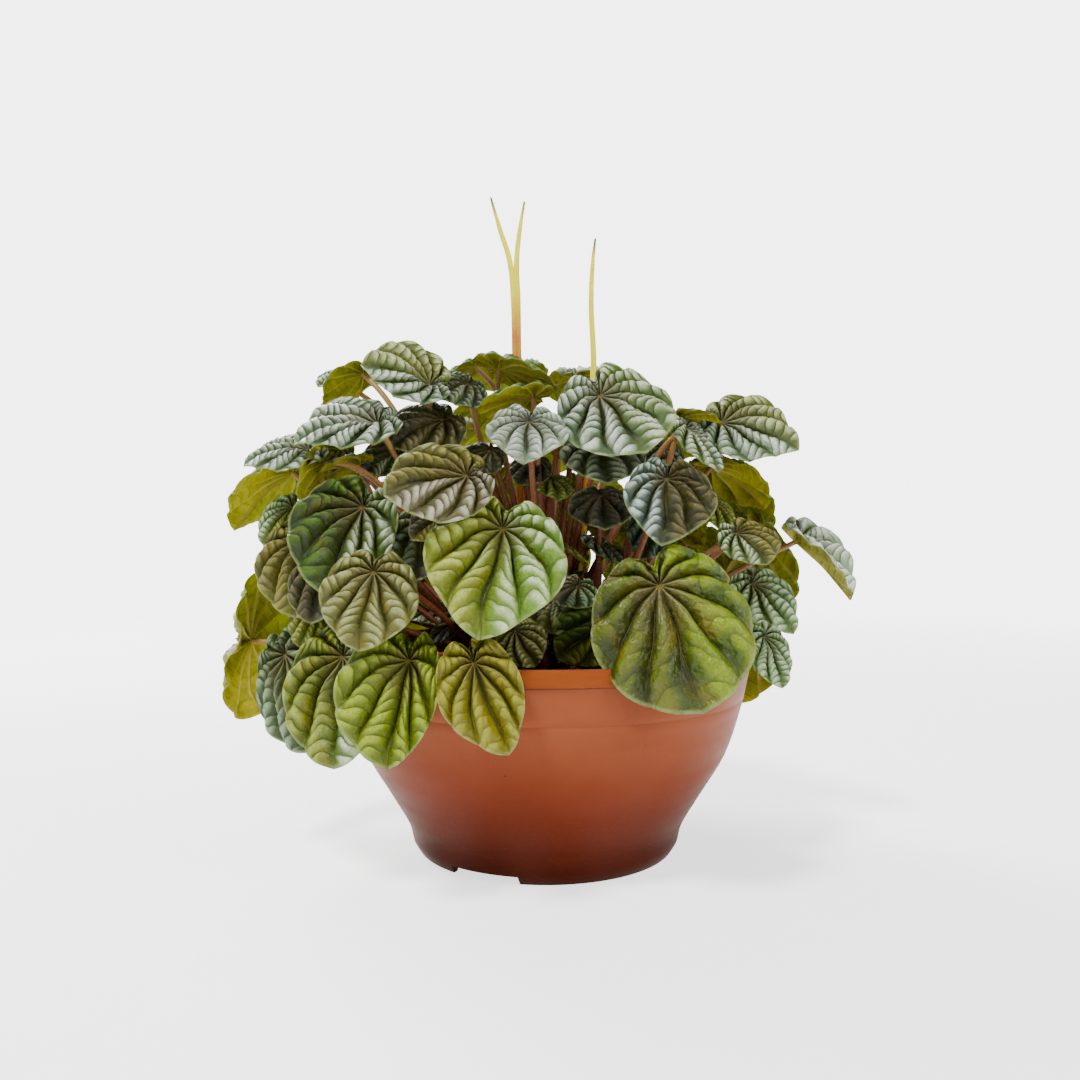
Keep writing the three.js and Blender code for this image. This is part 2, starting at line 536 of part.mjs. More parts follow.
function soilMesh() {
  const wall = bowlPoints(WALL + GAP).filter(([, height]) => height < SOIL_EDGE_HEIGHT - 2);
  const [edgeRadius] = wall[wall.length - 1];
  const outline = [
    [0, FLOOR_TOP + GAP],
    [wall[0][0] - 3, FLOOR_TOP + GAP],
    ...wall,
    [edgeRadius, SOIL_EDGE_HEIGHT],
    [edgeRadius - SOIL_RIM_WIDTH, SOIL_EDGE_HEIGHT + SOIL_RIM_RISE],
    [STEM_CIRCLE_RADIUS, SOIL_CENTRE_HEIGHT],
    [0, SOIL_CENTRE_HEIGHT],
  ];
  let solid = solidOf(turned(outline, POT_SEGMENTS / 2));
  const cut = (x, y, radius) => {
    const hole = uprightCylinder(x, y, STEM_FOOT - GAP, POT_HEIGHT, radius + GAP, STEM_SIDES);
    solid = solid.subtract(solidOf(hole));
  };
  for (const plantlet of PLANTLETS) cut(...stemPlace(plantlet), STEM_RADIUS);
  for (const [x, y] of [LEFT_SPIKE[0], RIGHT_SPIKE[0]]) cut(x, y, SPIKE_HOLE_RADIUS);
  return meshOf("soil", geometryOf(solid), SOIL_LOOK);
}

const leaves = [
  ...FRONT_LEAVES.map((row) => makeLeaf(...row)),
  ...TIERS.flatMap(tierLeaves),
];

const pottedPeperomia = new THREE.Group();
pottedPeperomia.add(potMesh(), soilMesh());
for (const plantlet of PLANTLETS) pottedPeperomia.add(plantletMesh(plantlet, leaves));
pottedPeperomia.add(spikeMesh("flower_spike_left", [
  [LEFT_SPIKE, SPIKE_FOOT_RADIUS, FORK_RADIUS, SPIKE_STEPS],
  [LEFT_BRANCH, BRANCH_RADIUS, SPIKE_TIP_RADIUS, BRANCH_STEPS],
  [RIGHT_BRANCH, BRANCH_RADIUS, SPIKE_TIP_RADIUS, BRANCH_STEPS],
]));
pottedPeperomia.add(spikeMesh("flower_spike_right", [
  [RIGHT_SPIKE, SPIKE_FOOT_RADIUS, SPIKE_TIP_RADIUS, SPIKE_STEPS],
]));

export default pottedPeperomia;
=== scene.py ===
# %% [markdown]
# A rippled peperomia in its bowl
#
# This notebook dresses a finished CAD model of a house plant. The CAD model gives every size: a bowl,
# its soil, seven leafy plantlets and two flower spikes. Each of them is replaced here by a finer piece
# of the same form, because a leaf of this plant is all ripples, and a CAD leaf has only a few faces.

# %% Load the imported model
import math
import random

import bpy
import numpy as np
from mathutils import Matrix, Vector


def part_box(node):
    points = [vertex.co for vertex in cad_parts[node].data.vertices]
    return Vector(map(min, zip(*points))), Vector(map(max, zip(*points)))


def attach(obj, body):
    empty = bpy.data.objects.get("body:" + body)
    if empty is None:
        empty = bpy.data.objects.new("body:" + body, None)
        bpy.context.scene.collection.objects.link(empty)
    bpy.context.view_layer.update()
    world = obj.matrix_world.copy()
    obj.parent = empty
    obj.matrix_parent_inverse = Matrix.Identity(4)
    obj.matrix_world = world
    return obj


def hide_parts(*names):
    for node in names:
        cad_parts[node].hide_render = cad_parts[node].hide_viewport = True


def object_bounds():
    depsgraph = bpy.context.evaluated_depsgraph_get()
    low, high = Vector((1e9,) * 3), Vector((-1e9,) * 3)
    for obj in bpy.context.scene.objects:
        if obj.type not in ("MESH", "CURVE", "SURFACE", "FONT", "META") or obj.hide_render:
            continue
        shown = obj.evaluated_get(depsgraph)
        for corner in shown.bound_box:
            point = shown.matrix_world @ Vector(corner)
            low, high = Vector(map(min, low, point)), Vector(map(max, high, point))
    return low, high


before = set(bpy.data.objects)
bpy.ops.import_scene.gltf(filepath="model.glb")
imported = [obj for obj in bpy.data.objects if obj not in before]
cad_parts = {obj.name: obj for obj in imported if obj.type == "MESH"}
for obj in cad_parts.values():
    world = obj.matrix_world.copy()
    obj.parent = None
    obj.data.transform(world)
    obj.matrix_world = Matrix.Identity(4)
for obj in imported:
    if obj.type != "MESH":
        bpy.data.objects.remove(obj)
cad_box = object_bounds()
MM = 0.001
SEED = 7
chance = random.Random(SEED)
print(len(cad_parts), "CAD nodes in a box, in mm:",
      [[round(value / MM, 1) for value in corner] for corner in cad_box])

# %% [markdown]
# A few helpers
#
# An operator works on everything that is selected, so each step first selects only its own object.
# A shader is a net of small nodes. To keep it readable, a node's output is wrapped as a value that can
# be added and multiplied like a number, and each such sum adds the node that works it out.

# %% Helpers for objects
def select_only(*pieces):
    bpy.ops.object.select_all(action="DESELECT")
    for piece in pieces:
        piece.select_set(True)
    bpy.context.view_layer.objects.active = pieces[0]


def start_editing(piece):
    select_only(piece)
    bpy.ops.object.mode_set(mode="EDIT")
    bpy.ops.mesh.select_all(action="SELECT")


def stop_editing():
    bpy.ops.object.mode_set(mode="OBJECT")


def new_piece(name):
    piece = bpy.context.object
    piece.name = name
    piece.data.name = name
    return piece


def apply_place(piece):
    select_only(piece)
    bpy.ops.object.transform_apply(location=True, rotation=True, scale=True)


def join_as(name, pieces):
    select_only(*pieces)
    if len(pieces) > 1:
        bpy.ops.object.join()
    return new_piece(name)


def shade_smoothly(piece, degrees):
    """Shade the piece smoothly, but keep the edges sharp that turn by more than some degrees."""
    select_only(piece)
    bpy.ops.object.shade_smooth_by_angle(angle=math.radians(degrees))


def finish_piece(piece, material, slot, *nodes):
    piece.data.materials.clear()
    piece.data.materials.append(material)
    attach(piece, "root")
    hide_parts(*nodes)
    piece.data.calc_loop_triangles()
    print(piece.name, len(piece.data.loop_triangles), "triangles")


# %% Values and nodes of a shader
class Value:
    """A node's output, wrapped so that sums and products of values add Math nodes."""

    def __init__(self, socket):
        self.socket = socket

    def __add__(self, other):
        return add_math("ADD", self, other)

    def __sub__(self, other):
        return add_math("SUBTRACT", self, other)

    def __rsub__(self, other):
        return add_math("SUBTRACT", other, self)

    def __mul__(self, other):
        return add_math("MULTIPLY", self, other)

    def __truediv__(self, other):
        return add_math("DIVIDE", self, other)

    def __rtruediv__(self, other):
        return add_math("DIVIDE", other, self)

    def __pow__(self, other):
        return add_math("POWER", self, other)

    def __abs__(self):
        return add_math("ABSOLUTE", self)


def tree_of(*values):
    return next(value.socket.id_data for value in values if isinstance(value, Value))


def feed(socket, value):
    """Link a value to a socket, or set a plain number or colour on it."""
    if isinstance(value, Value):
        socket.id_data.links.new(value.socket, socket)
    elif value is not None:
        socket.default_value = value


def add_node(tree, kind, inputs, **settings):
    """Add a node, set it up, feed its inputs by name or number, and hand back its outputs."""
    node = tree.nodes.new(kind)
    for name, setting in settings.items():
        setattr(node, name, setting)
    for name, value in inputs.items():
        feed(node.inputs[name], value)
    return node.outputs


# %% Helpers for numbers in a shader
def add_math(operation, first, second=None):
    outputs = add_node(tree_of(first, second), "ShaderNodeMath", {0: first, 1: second}, operation=operation)
    return Value(outputs["Value"])


def add_range(value, low, high, new_low=0.0, new_high=1.0, smooth=True):
    """The value moved from one range to another, and held inside it."""
    inputs = {"Value": value, "From Min": low, "From Max": high, "To Min": new_low, "To Max": new_high}
    outputs = add_node(tree_of(value), "ShaderNodeMapRange", inputs,
                       interpolation_type="SMOOTHSTEP" if smooth else "LINEAR")
    return Value(outputs["Result"])


def blend(share, first, second):
    """A number that goes from the first to the second as the share goes from 0 to 1."""
    return add_range(share, 0, 1, first, second)


def add_noise(place, scale, detail=3.0):
    inputs = {"Vector": place, "Scale": scale, "Detail": detail}
    return Value(add_node(tree_of(place), "ShaderNodeTexNoise", inputs)["Fac"])


def add_bump(height, distance):
    outputs = add_node(tree_of(height), "ShaderNodeBump", {"Height": height, "Distance": distance})
    return Value(outputs["Normal"])


def parts_of(vector):
    """The X, Y and Z of a vector."""
    outputs = add_node(tree_of(vector), "ShaderNodeSeparateXYZ", {"Vector": vector})
    return [Value(output) for output in outputs]


def distance_from(place, point):
    outputs = add_node(tree_of(place), "ShaderNodeVectorMath", {0: place, 1: point}, operation="DISTANCE")
    return Value(outputs["Value"])


# %% Helpers for colours and materials
def srgb(red, green, blue):
    """A colour as a paint chart gives it, 0 to 255, turned into the linear values of a shader."""
    shares = [value / 255 for value in (red, green, blue)]
    linear = [s / 12.92 if s <= 0.04045 else ((s + 0.055) / 1.055) ** 2.4 for s in shares]
    return (*linear, 1)


def add_mix(share, first, second):
    outputs = add_node(tree_of(share, first, second), "ShaderNodeMix",
                       {"Factor": share, "A": first, "B": second}, data_type="RGBA")
    return Value(outputs["Result"])


def glaze(colour, *coats):
    """Lay coats of paint over a colour, each as thick as its share says."""
    for share, paint in coats:
        colour = add_mix(share, colour, paint)
    return colour


def new_material(name):
    """A material, its shader, and the place on the piece by which its patterns are drawn."""
    material = bpy.data.materials.new(name)
    material.use_nodes = True
    tree = material.node_tree
    place = Value(add_node(tree, "ShaderNodeTexCoord", {})["Object"])
    return material, tree.nodes["Principled BSDF"], place


def set_shader(shader, values):
    for name, value in values.items():
        feed(shader.inputs[name], value)


# %% [markdown]
# The camera
#
# The photograph was taken straight on, a little above the middle of the plant. The camera's place and
# its focal length, in pixels of a 1080 pixel wide picture, were found from the rim and the foot.

# %% Camera
CAMERA_MM = (-2.5, -426, 135)
FOCAL_PIXELS = 946
PICTURE_PIXELS = 1080
SENSOR_MM = 36
CLIP_START_MM = 10

bpy.ops.object.camera_add(location=Vector(CAMERA_MM) * MM, rotation=(math.pi / 2, 0, 0))
camera = bpy.context.object
camera.data.sensor_width = SENSOR_MM
camera.data.lens = SENSOR_MM * FOCAL_PIXELS / PICTURE_PIXELS
camera.data.clip_start = CLIP_START_MM * MM
bpy.context.scene.camera = camera
print("lens in mm:", round(camera.data.lens, 2))

# %% [markdown]
# The studio
#
# The plant stands on a plain pale floor in a white room. A real studio hides the floor's far edge with
# a curved sheet of paper. Here the floor glows as brightly as the walls far from the plant, which looks
# the same and throws no odd light on the leaves. A wide lamp over the camera's left shoulder gives the
# highlights, and one behind the plant shines through the thin leaves.

# %% Floor
FLOOR_SIZE = 12
NEAR, FAR = 0.35, 1.6
FLOOR_GLOW, BACKGROUND_GLOW = 1.6, 5.0
THROWN_GLOW, THROWN_GLOW_FAR = 0.35, 0.4
WHITE, BLACK = (1, 1, 1, 1), (0, 0, 0, 1)


def seen_by_camera(tree):
    """1 where the camera looks straight at a surface, and 0 where the light of a surface falls on others."""
    return Value(add_node(tree, "ShaderNodeLightPath", {})["Is Camera Ray"])


bpy.ops.mesh.primitive_plane_add(size=FLOOR_SIZE, location=(0, 0, 0))
floor = new_piece("floor")
floor_material, shader, place = new_material("pale paper floor")
fade = add_range(distance_from(place, (0, 0, 0)), NEAR, FAR)
paper = add_mix(add_noise(place, 60), srgb(240, 240, 239), srgb(246, 246, 245))
glow_seen = add_range(fade, 0, 1, FLOOR_GLOW, BACKGROUND_GLOW, smooth=False)
glow_thrown = add_range(fade, 0, 1, THROWN_GLOW, THROWN_GLOW_FAR, smooth=False)
glow = add_range(seen_by_camera(tree_of(place)), 0, 1, glow_thrown, glow_seen, smooth=False)
set_shader(shader, {"Base Color": add_mix(fade, paper, BLACK), "Roughness": 0.9, "Specular IOR Level": 0.1,
                    "Emission Color": WHITE, "Emission Strength": glow})
floor.data.materials.append(floor_material)
print("floor", FLOOR_SIZE, "m wide")

# %% Lamps and room
MIDDLE_OF_PLANT = Vector((0, 0, 0.13))
ROOM_LIGHT = 0.4
LAMPS = [
    # name, kind, place, size, strength
    ("key light", "SUN", (-0.8, -1.0, 2.1), math.radians(12), 4.0),
    ("window light", "AREA", (1.5, -0.9, 0.9), 0.8, 18),
    ("back light", "AREA", (-1.0, 1.1, 1.0), 0.9, 62),
]

for name, kind, lamp_place, size, strength in LAMPS:
    bpy.ops.object.light_add(type=kind, location=lamp_place)
    lamp = bpy.context.object
    lamp.name = name
    lamp.data.energy = strength
    if kind == "SUN":
        lamp.data.angle = size
    else:
        lamp.data.size = size
    lamp.rotation_euler = (MIDDLE_OF_PLANT - Vector(lamp_place)).to_track_quat("-Z", "Y").to_euler()

world = bpy.data.worlds.new("white room")
world.use_nodes = True
walls = world.node_tree.nodes["Background"]
feed(walls.inputs["Color"], WHITE)
feed(walls.inputs["Strength"], add_range(seen_by_camera(world.node_tree), 0, 1, ROOM_LIGHT, BACKGROUND_GLOW,
                                         smooth=False))
bpy.context.scene.world = world
print(len(LAMPS), "lamps in a white room")

# %% [markdown]
# The bowl
#
# The bowl is one thin moulding with a rolled lip and a foot ring. It could be a curve that is spun
# round. It is made as a potter pulls a pot instead, because each ring is then one measured step: a
# circle is extruded ring by ring up the outside, over the lip and down the inside. A smooth curve
# through a few measured points gives the rings of the side. Boxes then cut the notches of the foot,
# and round pegs cut the drain holes.

# %% Measures of the bowl
CAD_LIP_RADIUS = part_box("pot")[1].x / MM
CAD_RIM_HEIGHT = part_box("pot")[1].z / MM
WALL = 1.8
LIP_BOTTOM = 82.3
LIP_ROUND, LIP_INNER_ROUND = 0.8, 0.4
UNDER_LIP_RADIUS = 90.15
FLOOR_BOTTOM, FLOOR_TOP = 6, 8
FOOT_RADIUS, FOOT_WIDTH, FOOT_DRAFT = 56.5, 3, 1
EDGE_ROUND, SMALL_ROUND = 0.3, 0.25
BOWL_SIDE = [(58.8, 4), (61.2, 12.5), (69.1, 26), (79.7, 44), (86.2, 63.8), (90, LIP_BOTTOM - 1)]
SIDE_STEPS = 5
MOULD_LINE = 67.6
MOULD_LINE_DEPTH = 0.14
MOULD_LINE_INNER, MOULD_LINE_OUTER, MOULD_LINE_CLEAR = 0.15, 0.4, 1


def smooth_through(points, steps):
    """Points on a smooth curve that passes through the given ones."""
    known = [np.array(point, float) for point in points]
    known = [2 * known[0] - known[1], *known, 2 * known[-1] - known[-2]]
    curve = []
    for before, start, end, after in zip(known, known[1:], known[2:], known[3:]):
        for step in range(steps):
            t = step / steps
            curve.append(0.5 * (2 * start + (end - before) * t
                                + (2 * before - 5 * start + 4 * end - after) * t ** 2
                                + (3 * start - before - 3 * end + after) * t ** 3))
    return [tuple(point) for point in curve] + [tuple(known[-2])]


bowl_side = smooth_through(BOWL_SIDE, SIDE_STEPS)
print("the side has", len(bowl_side), "rings")


# %% Rings of the bowl
def side_radius(height):
    return float(np.interp(height, [point[1] for point in bowl_side], [point[0] for point in bowl_side]))


mould_line = [(side_radius(MOULD_LINE + up) - depth, MOULD_LINE + up)
              for up, depth in ((-MOULD_LINE_OUTER, 0), (-MOULD_LINE_INNER, MOULD_LINE_DEPTH),
                                (MOULD_LINE_INNER, MOULD_LINE_DEPTH), (MOULD_LINE_OUTER, 0))]
plain_side = [point for point in bowl_side if abs(point[1] - MOULD_LINE) > MOULD_LINE_CLEAR]
outside = sorted(plain_side + mould_line, key=lambda point: point[1])
inside = [(radius - WALL, height) for radius, height in reversed(bowl_side[SIDE_STEPS:])]
lip_inner = CAD_LIP_RADIUS - WALL - LIP_ROUND
foot_inner = FOOT_RADIUS - FOOT_WIDTH
bowl_rings = [
    (foot_inner - FOOT_DRAFT, FLOOR_BOTTOM), (foot_inner, EDGE_ROUND), (foot_inner + EDGE_ROUND, 0),
    (FOOT_RADIUS - EDGE_ROUND, 0), (FOOT_RADIUS, EDGE_ROUND), *outside,
    (UNDER_LIP_RADIUS, LIP_BOTTOM - SMALL_ROUND), (CAD_LIP_RADIUS - SMALL_ROUND, LIP_BOTTOM),
    (CAD_LIP_RADIUS, LIP_BOTTOM + EDGE_ROUND), (CAD_LIP_RADIUS, CAD_RIM_HEIGHT - LIP_ROUND),
    (CAD_LIP_RADIUS - SMALL_ROUND, CAD_RIM_HEIGHT - SMALL_ROUND),
    (CAD_LIP_RADIUS - LIP_ROUND, CAD_RIM_HEIGHT), (lip_inner + LIP_INNER_ROUND, CAD_RIM_HEIGHT),
    (lip_inner, CAD_RIM_HEIGHT - EDGE_ROUND), *inside, (FOOT_RADIUS, FLOOR_TOP),
]
print("the bowl has", len(bowl_rings), "rings")

# %% Pull the bowl up ring by ring
BOWL_COLUMNS = 144
SAME_HEIGHT = 0.01


def pull_rings(rings):
    """Extrude the selected ring along (radius, height) pairs, given in mm, from the first to the last."""
    for (last_radius, last_height), (radius, height) in zip(rings, rings[1:]):
        rise = (0, 0, (height - last_height) * MM)
        bpy.ops.mesh.extrude_region_move(TRANSFORM_OT_translate={"value": rise})
        share = radius / last_radius
        bpy.ops.transform.resize(value=(share, share, 1), center_override=(0, 0, 0))


def fill_ring(piece, height):
    """Close the ring of vertices that lies at a height, given in mm, with one flat face."""
    bpy.ops.mesh.select_all(action="DESELECT")
    stop_editing()
    for vertex in piece.data.vertices:
        vertex.select = abs(vertex.co.z / MM - height) < SAME_HEIGHT
    bpy.ops.object.mode_set(mode="EDIT")
    bpy.ops.mesh.edge_face_add()


first_radius, first_height = bowl_rings[0]
bpy.ops.mesh.primitive_circle_add(vertices=BOWL_COLUMNS, radius=first_radius * MM,
                                  location=(0, 0, first_height * MM))
bowl = new_piece("bowl")
apply_place(bowl)
start_editing(bowl)
pull_rings(bowl_rings)
bpy.ops.mesh.edge_face_add()
fill_ring(bowl, FLOOR_BOTTOM)
bpy.ops.mesh.select_all(action="SELECT")
bpy.ops.mesh.normals_make_consistent(inside=False)
stop_editing()
print("bowl:", len(bowl.data.vertices), "points")

# %% Cut the foot's notches and the drain holes
NOTCH_DEGREES = (-116, 4, 124)
NOTCH_WIDTH, NOTCH_HEIGHT = 30, 3.5
DRAIN_HOLES = 5
DRAIN_HOLE_RADIUS, DRAIN_CIRCLE_RADIUS = 4, 34
PEG_COLUMNS = 32
BOWL_SHARP_DEGREES = 35


def on_circle(radius, turn, height):
    """A place in metres, from a radius in mm, a turn in radians and a height in mm."""
    return radius * MM * math.cos(turn), radius * MM * math.sin(turn), height * MM


cutters = []
for degrees in NOTCH_DEGREES:
    turn = math.radians(degrees)
    bpy.ops.mesh.primitive_cube_add(
        size=1, location=on_circle(FOOT_RADIUS, turn, 0), rotation=(0, 0, turn),
        scale=(4 * FOOT_WIDTH * MM, NOTCH_WIDTH * MM, 2 * NOTCH_HEIGHT * MM))
    cutters.append(bpy.context.object)
for number in range(DRAIN_HOLES):
    turn = 2 * math.pi * number / DRAIN_HOLES
    bpy.ops.mesh.primitive_cylinder_add(
        vertices=PEG_COLUMNS, radius=DRAIN_HOLE_RADIUS * MM, depth=3 * (FLOOR_TOP - FLOOR_BOTTOM) * MM,
        location=on_circle(DRAIN_CIRCLE_RADIUS, turn, (FLOOR_TOP + FLOOR_BOTTOM) / 2))
    cutters.append(bpy.context.object)
cutter = join_as("cutter", cutters)
apply_place(cutter)

select_only(bowl)
cut = bowl.modifiers.new("notches and holes", "BOOLEAN")
cut.operation = "DIFFERENCE"
cut.solver = "EXACT"
cut.object = cutter
bpy.ops.object.modifier_apply(modifier=cut.name)
bpy.data.objects.remove(cutter)
shade_smoothly(bowl, BOWL_SHARP_DEGREES)
print("bowl with notches and holes:", len(bowl.data.vertices), "points")

# %% [markdown]
# The bowl's plastic
#
# The bowl is terracotta-coloured plastic with a satin skin. The lip is thinner and more orange. The wall
# is painted a pale salmon under the lip, as painted light from above, and a deep brown towards the foot,
# as painted shade. One colour with a gloss would look like a toy, so the tone follows the height, wanders
# a little with a soft noise, and gets the fine grain, faint flow marks and small dark specks of a cheap
# moulding, and a thin painted shadow under the lip. A faint sheen stands for the dust.

# %% Shared effect: small specks
SPECK_RARITY = 0.6


def make_speck_group():
    """Small specks, few and far between, as a mask."""
    group = bpy.data.node_groups.new("specks", "ShaderNodeTree")
    for name, side, kind in (("Place", "INPUT", "Vector"), ("Scale", "INPUT", "Float"),
                             ("Radius", "INPUT", "Float"), ("Mask", "OUTPUT", "Float")):
        group.interface.new_socket(name, in_out=side, socket_type="NodeSocket" + kind)
    given = {socket.name: Value(socket) for socket in group.nodes.new("NodeGroupInput").outputs}
    cells = add_node(group, "ShaderNodeTexVoronoi", {"Vector": given["Place"], "Scale": given["Scale"]})
    seen = add_math("LESS_THAN", Value(cells["Distance"]), given["Radius"])
    draw = add_node(group, "ShaderNodeSeparateColor", {"Color": Value(cells["Color"])})
    rare = add_math("GREATER_THAN", Value(draw["Red"]), SPECK_RARITY)
    feed(group.nodes.new("NodeGroupOutput").inputs["Mask"], seen * rare)
    return group


speck_group = make_speck_group()


def add_specks(place, scale, radius):
    inputs = {"Place": place, "Scale": scale, "Radius": radius}
    return Value(add_node(tree_of(place), "ShaderNodeGroup", inputs, node_tree=speck_group)["Mask"])


print("the speck group has", len(speck_group.nodes), "nodes")

# %% Terracotta-coloured plastic
LIP_STEP = (LIP_BOTTOM - 0.4) * MM, LIP_BOTTOM * MM
LIP_SHADOW = (LIP_BOTTOM - 0.3) * MM
FLOW_STRETCH = (1, 1, 5)
CLOUD_DRIFT = 0.03
GRAIN_DEPTH = 0.00006

bowl_material, shader, place = new_material("terracotta-coloured plastic")
height = parts_of(place)[2]
wandering = height + (add_noise(place, 9, 4) - 0.5) * CLOUD_DRIFT
flow = add_node(tree_of(place), "ShaderNodeMapping", {"Vector": place, "Scale": FLOW_STRETCH})
streaks = add_noise(Value(flow["Vector"]), 30, 5)
streak_share = add_range(height, *LIP_STEP, 0.1, 0.45)
# Painted shade and light: dark towards the foot, pale salmon up the wall, a shadow line under the lip.
tone = glaze(
    srgb(60, 14, 0),
    (add_range(wandering, 0.0, 0.045), srgb(104, 32, 0)),
    (add_range(wandering, 0.03, 0.07), srgb(146, 75, 45)),
    (add_range(height, *LIP_STEP), srgb(138, 68, 26)),
    (add_range(abs(height - LIP_SHADOW), 0.1 * MM, 0.4 * MM, 0.6, 0.0), srgb(56, 22, 8)),
    (add_range(streaks, 0.35, 0.7, 0, streak_share), srgb(110, 40, 12)),
    (add_specks(place, 210, 0.055), srgb(40, 20, 14)))
set_shader(shader, {
    "Base Color": tone, "Roughness": add_range(streaks, 0.3, 0.7, 0.36, 0.46), "Specular IOR Level": 0.08,
    "Sheen Weight": 0.22, "Sheen Roughness": 0.35, "Sheen Tint": srgb(255, 226, 200),
    "Normal": add_bump(add_noise(place, 900, 2), GRAIN_DEPTH)})
finish_piece(bowl, bowl_material, "pot", "pot")

# %% [markdown]
# The soil
#
# Potting soil is crumbs of peat and bark. Its body could be one flat disc, but soil heaps up a little
# in the middle and is rough all over. So a disc is inset ring by ring to give it points, pulled down
# inside the bowl, raised in the middle, and roughened by two displacing modifiers. Loose crumbs lie on
# it: one lump is modelled, and copies of it are turned, scaled and scattered.

# %% Body of the soil
SOIL_EDGE, SOIL_CENTRE = 73, 76
SOIL_GAP = 0.4
SOIL_COLUMNS, SOIL_RINGS = 96, 26
SOIL_SIDE_HEIGHTS = (60, 48, 36, 24, 14)
SOIL_FOOT_RADIUS = 54
soil_edge_radius = side_radius(SOIL_EDGE) - WALL - SOIL_GAP

bpy.ops.mesh.primitive_circle_add(vertices=SOIL_COLUMNS, radius=soil_edge_radius * MM, fill_type="NGON",
                                  location=(0, 0, SOIL_EDGE * MM))
soil = new_piece("soil_body")
apply_place(soil)
start_editing(soil)
for _ in range(SOIL_RINGS):
    bpy.ops.mesh.inset(thickness=soil_edge_radius * MM / (SOIL_RINGS + 1))
bpy.ops.mesh.poke()
bpy.ops.mesh.select_all(action="SELECT")
bpy.ops.mesh.region_to_loop()
soil_side = [(side_radius(height) - WALL - SOIL_GAP, height) for height in SOIL_SIDE_HEIGHTS]
pull_rings([(soil_edge_radius, SOIL_EDGE), *soil_side, (SOIL_FOOT_RADIUS, FLOOR_TOP + SOIL_GAP)])
bpy.ops.mesh.edge_face_add()
bpy.ops.mesh.select_all(action="SELECT")
bpy.ops.mesh.normals_make_consistent(inside=False)
stop_editing()
print("soil:", len(soil.data.vertices), "points")

# %% Heap up and roughen the top
TOP_DEPTH = 1
SMOOTH_EDGE = 2
ROUGH_MIDDLE = 0.6
ROUGHENING = [
    # name, kind, size, strength
    ("lumps", "CLOUDS", 0.016, 0.006),
    ("crumbs", "VORONOI", 0.006, 0.003),
]
SOIL_SHARP_DEGREES = 40


def heap(reach):
    """How far in mm the soil stands above its edge, at a share of the way from the middle to the edge."""
    return (SOIL_CENTRE - SOIL_EDGE) * (1 - reach ** 2)


def is_top(vertex):
    return vertex.co.z / MM > SOIL_EDGE - TOP_DEPTH


for vertex in filter(is_top, soil.data.vertices):
    vertex.co.z += heap(vertex.co.xy.length / MM / soil_edge_radius) * MM
top_points = [vertex.index for vertex in filter(is_top, soil.data.vertices)
              if vertex.co.xy.length / MM < soil_edge_radius - SMOOTH_EDGE]
soil.vertex_groups.new(name="top").add(top_points, 1, "REPLACE")
for name, kind, size, strength in ROUGHENING:
    texture = bpy.data.textures.new(name, kind)
    texture.noise_scale = size
    rough = soil.modifiers.new(name, "DISPLACE")
    rough.texture = texture
    rough.texture_coords = "OBJECT"
    rough.texture_coords_object = None
    rough.direction = "Z"
    rough.mid_level = ROUGH_MIDDLE
    rough.strength = strength
    rough.vertex_group = "top"
    select_only(soil)
    bpy.ops.object.modifier_apply(modifier=rough.name)
shade_smoothly(soil, SOIL_SHARP_DEGREES)
print(len(top_points), "points of the soil roughened")

# %% Loose crumbs on the soil
CRUMBS = 420
LUMP_UNEVEN = (0.75, 1.15)
CRUMB_UNEVEN = (0.7, 1.3)
CRUMB_SIZES = (0.8, 3.2, 1.2)
CRUMB_FREE_EDGE = 6
CRUMB_SEAT = 0.3
bpy.ops.mesh.primitive_ico_sphere_add(subdivisions=2, radius=1)
lump = new_piece("crumb")
for vertex in lump.data.vertices:
    vertex.co *= chance.uniform(*LUMP_UNEVEN)

crumbs = []
for number in range(CRUMBS):
    crumb = lump.copy()
    crumb.data = lump.data.copy()
    bpy.context.collection.objects.link(crumb)
    reach = math.sqrt(chance.random()) * (soil_edge_radius - CRUMB_FREE_EDGE)
    turn = chance.uniform(0, 2 * math.pi)
    size = chance.triangular(*CRUMB_SIZES)
    crumb.location = on_circle(reach, turn, SOIL_EDGE + heap(reach / soil_edge_radius) + CRUMB_SEAT * size)
    crumb.rotation_euler = [chance.uniform(0, math.pi) for _ in range(3)]
    crumb.scale = [size * chance.uniform(*CRUMB_UNEVEN) * MM for _ in range(3)]
    crumbs.append(crumb)
bpy.data.objects.remove(lump)
soil_crumbs = join_as("soil_crumbs", crumbs)
apply_place(soil_crumbs)
print(CRUMBS, "crumbs scattered")

# %% Dark soil
CRUMBLE_DEPTH = 0.0008
soil_material, shader, place = new_material("dark potting soil")
lumps = add_range(add_noise(place, 160, 5), 0.35, 0.7)
set_shader(shader, {"Base Color": add_mix(lumps, srgb(22, 15, 11), srgb(62, 43, 30)), "Roughness": 0.95,
                    "Normal": add_bump(add_noise(place, 700, 4), CRUMBLE_DEPTH)})
for piece in (soil, soil_crumbs):
    finish_piece(piece, soil_material, "soil", "soil")

# %% [markdown]
# The leaves: where they are
#
# A leaf is given by the point where its stalk meets the blade, by its tip, and by the way that its
# upper side faces. The leaves that the front shows are listed one by one, with the look of each half,
# because their places and colours make the plant what it is. The rest could be listed too, but nobody
# knows them, so they stand in tiers, like shingles on a dome, with looks drawn by a seeded chance.

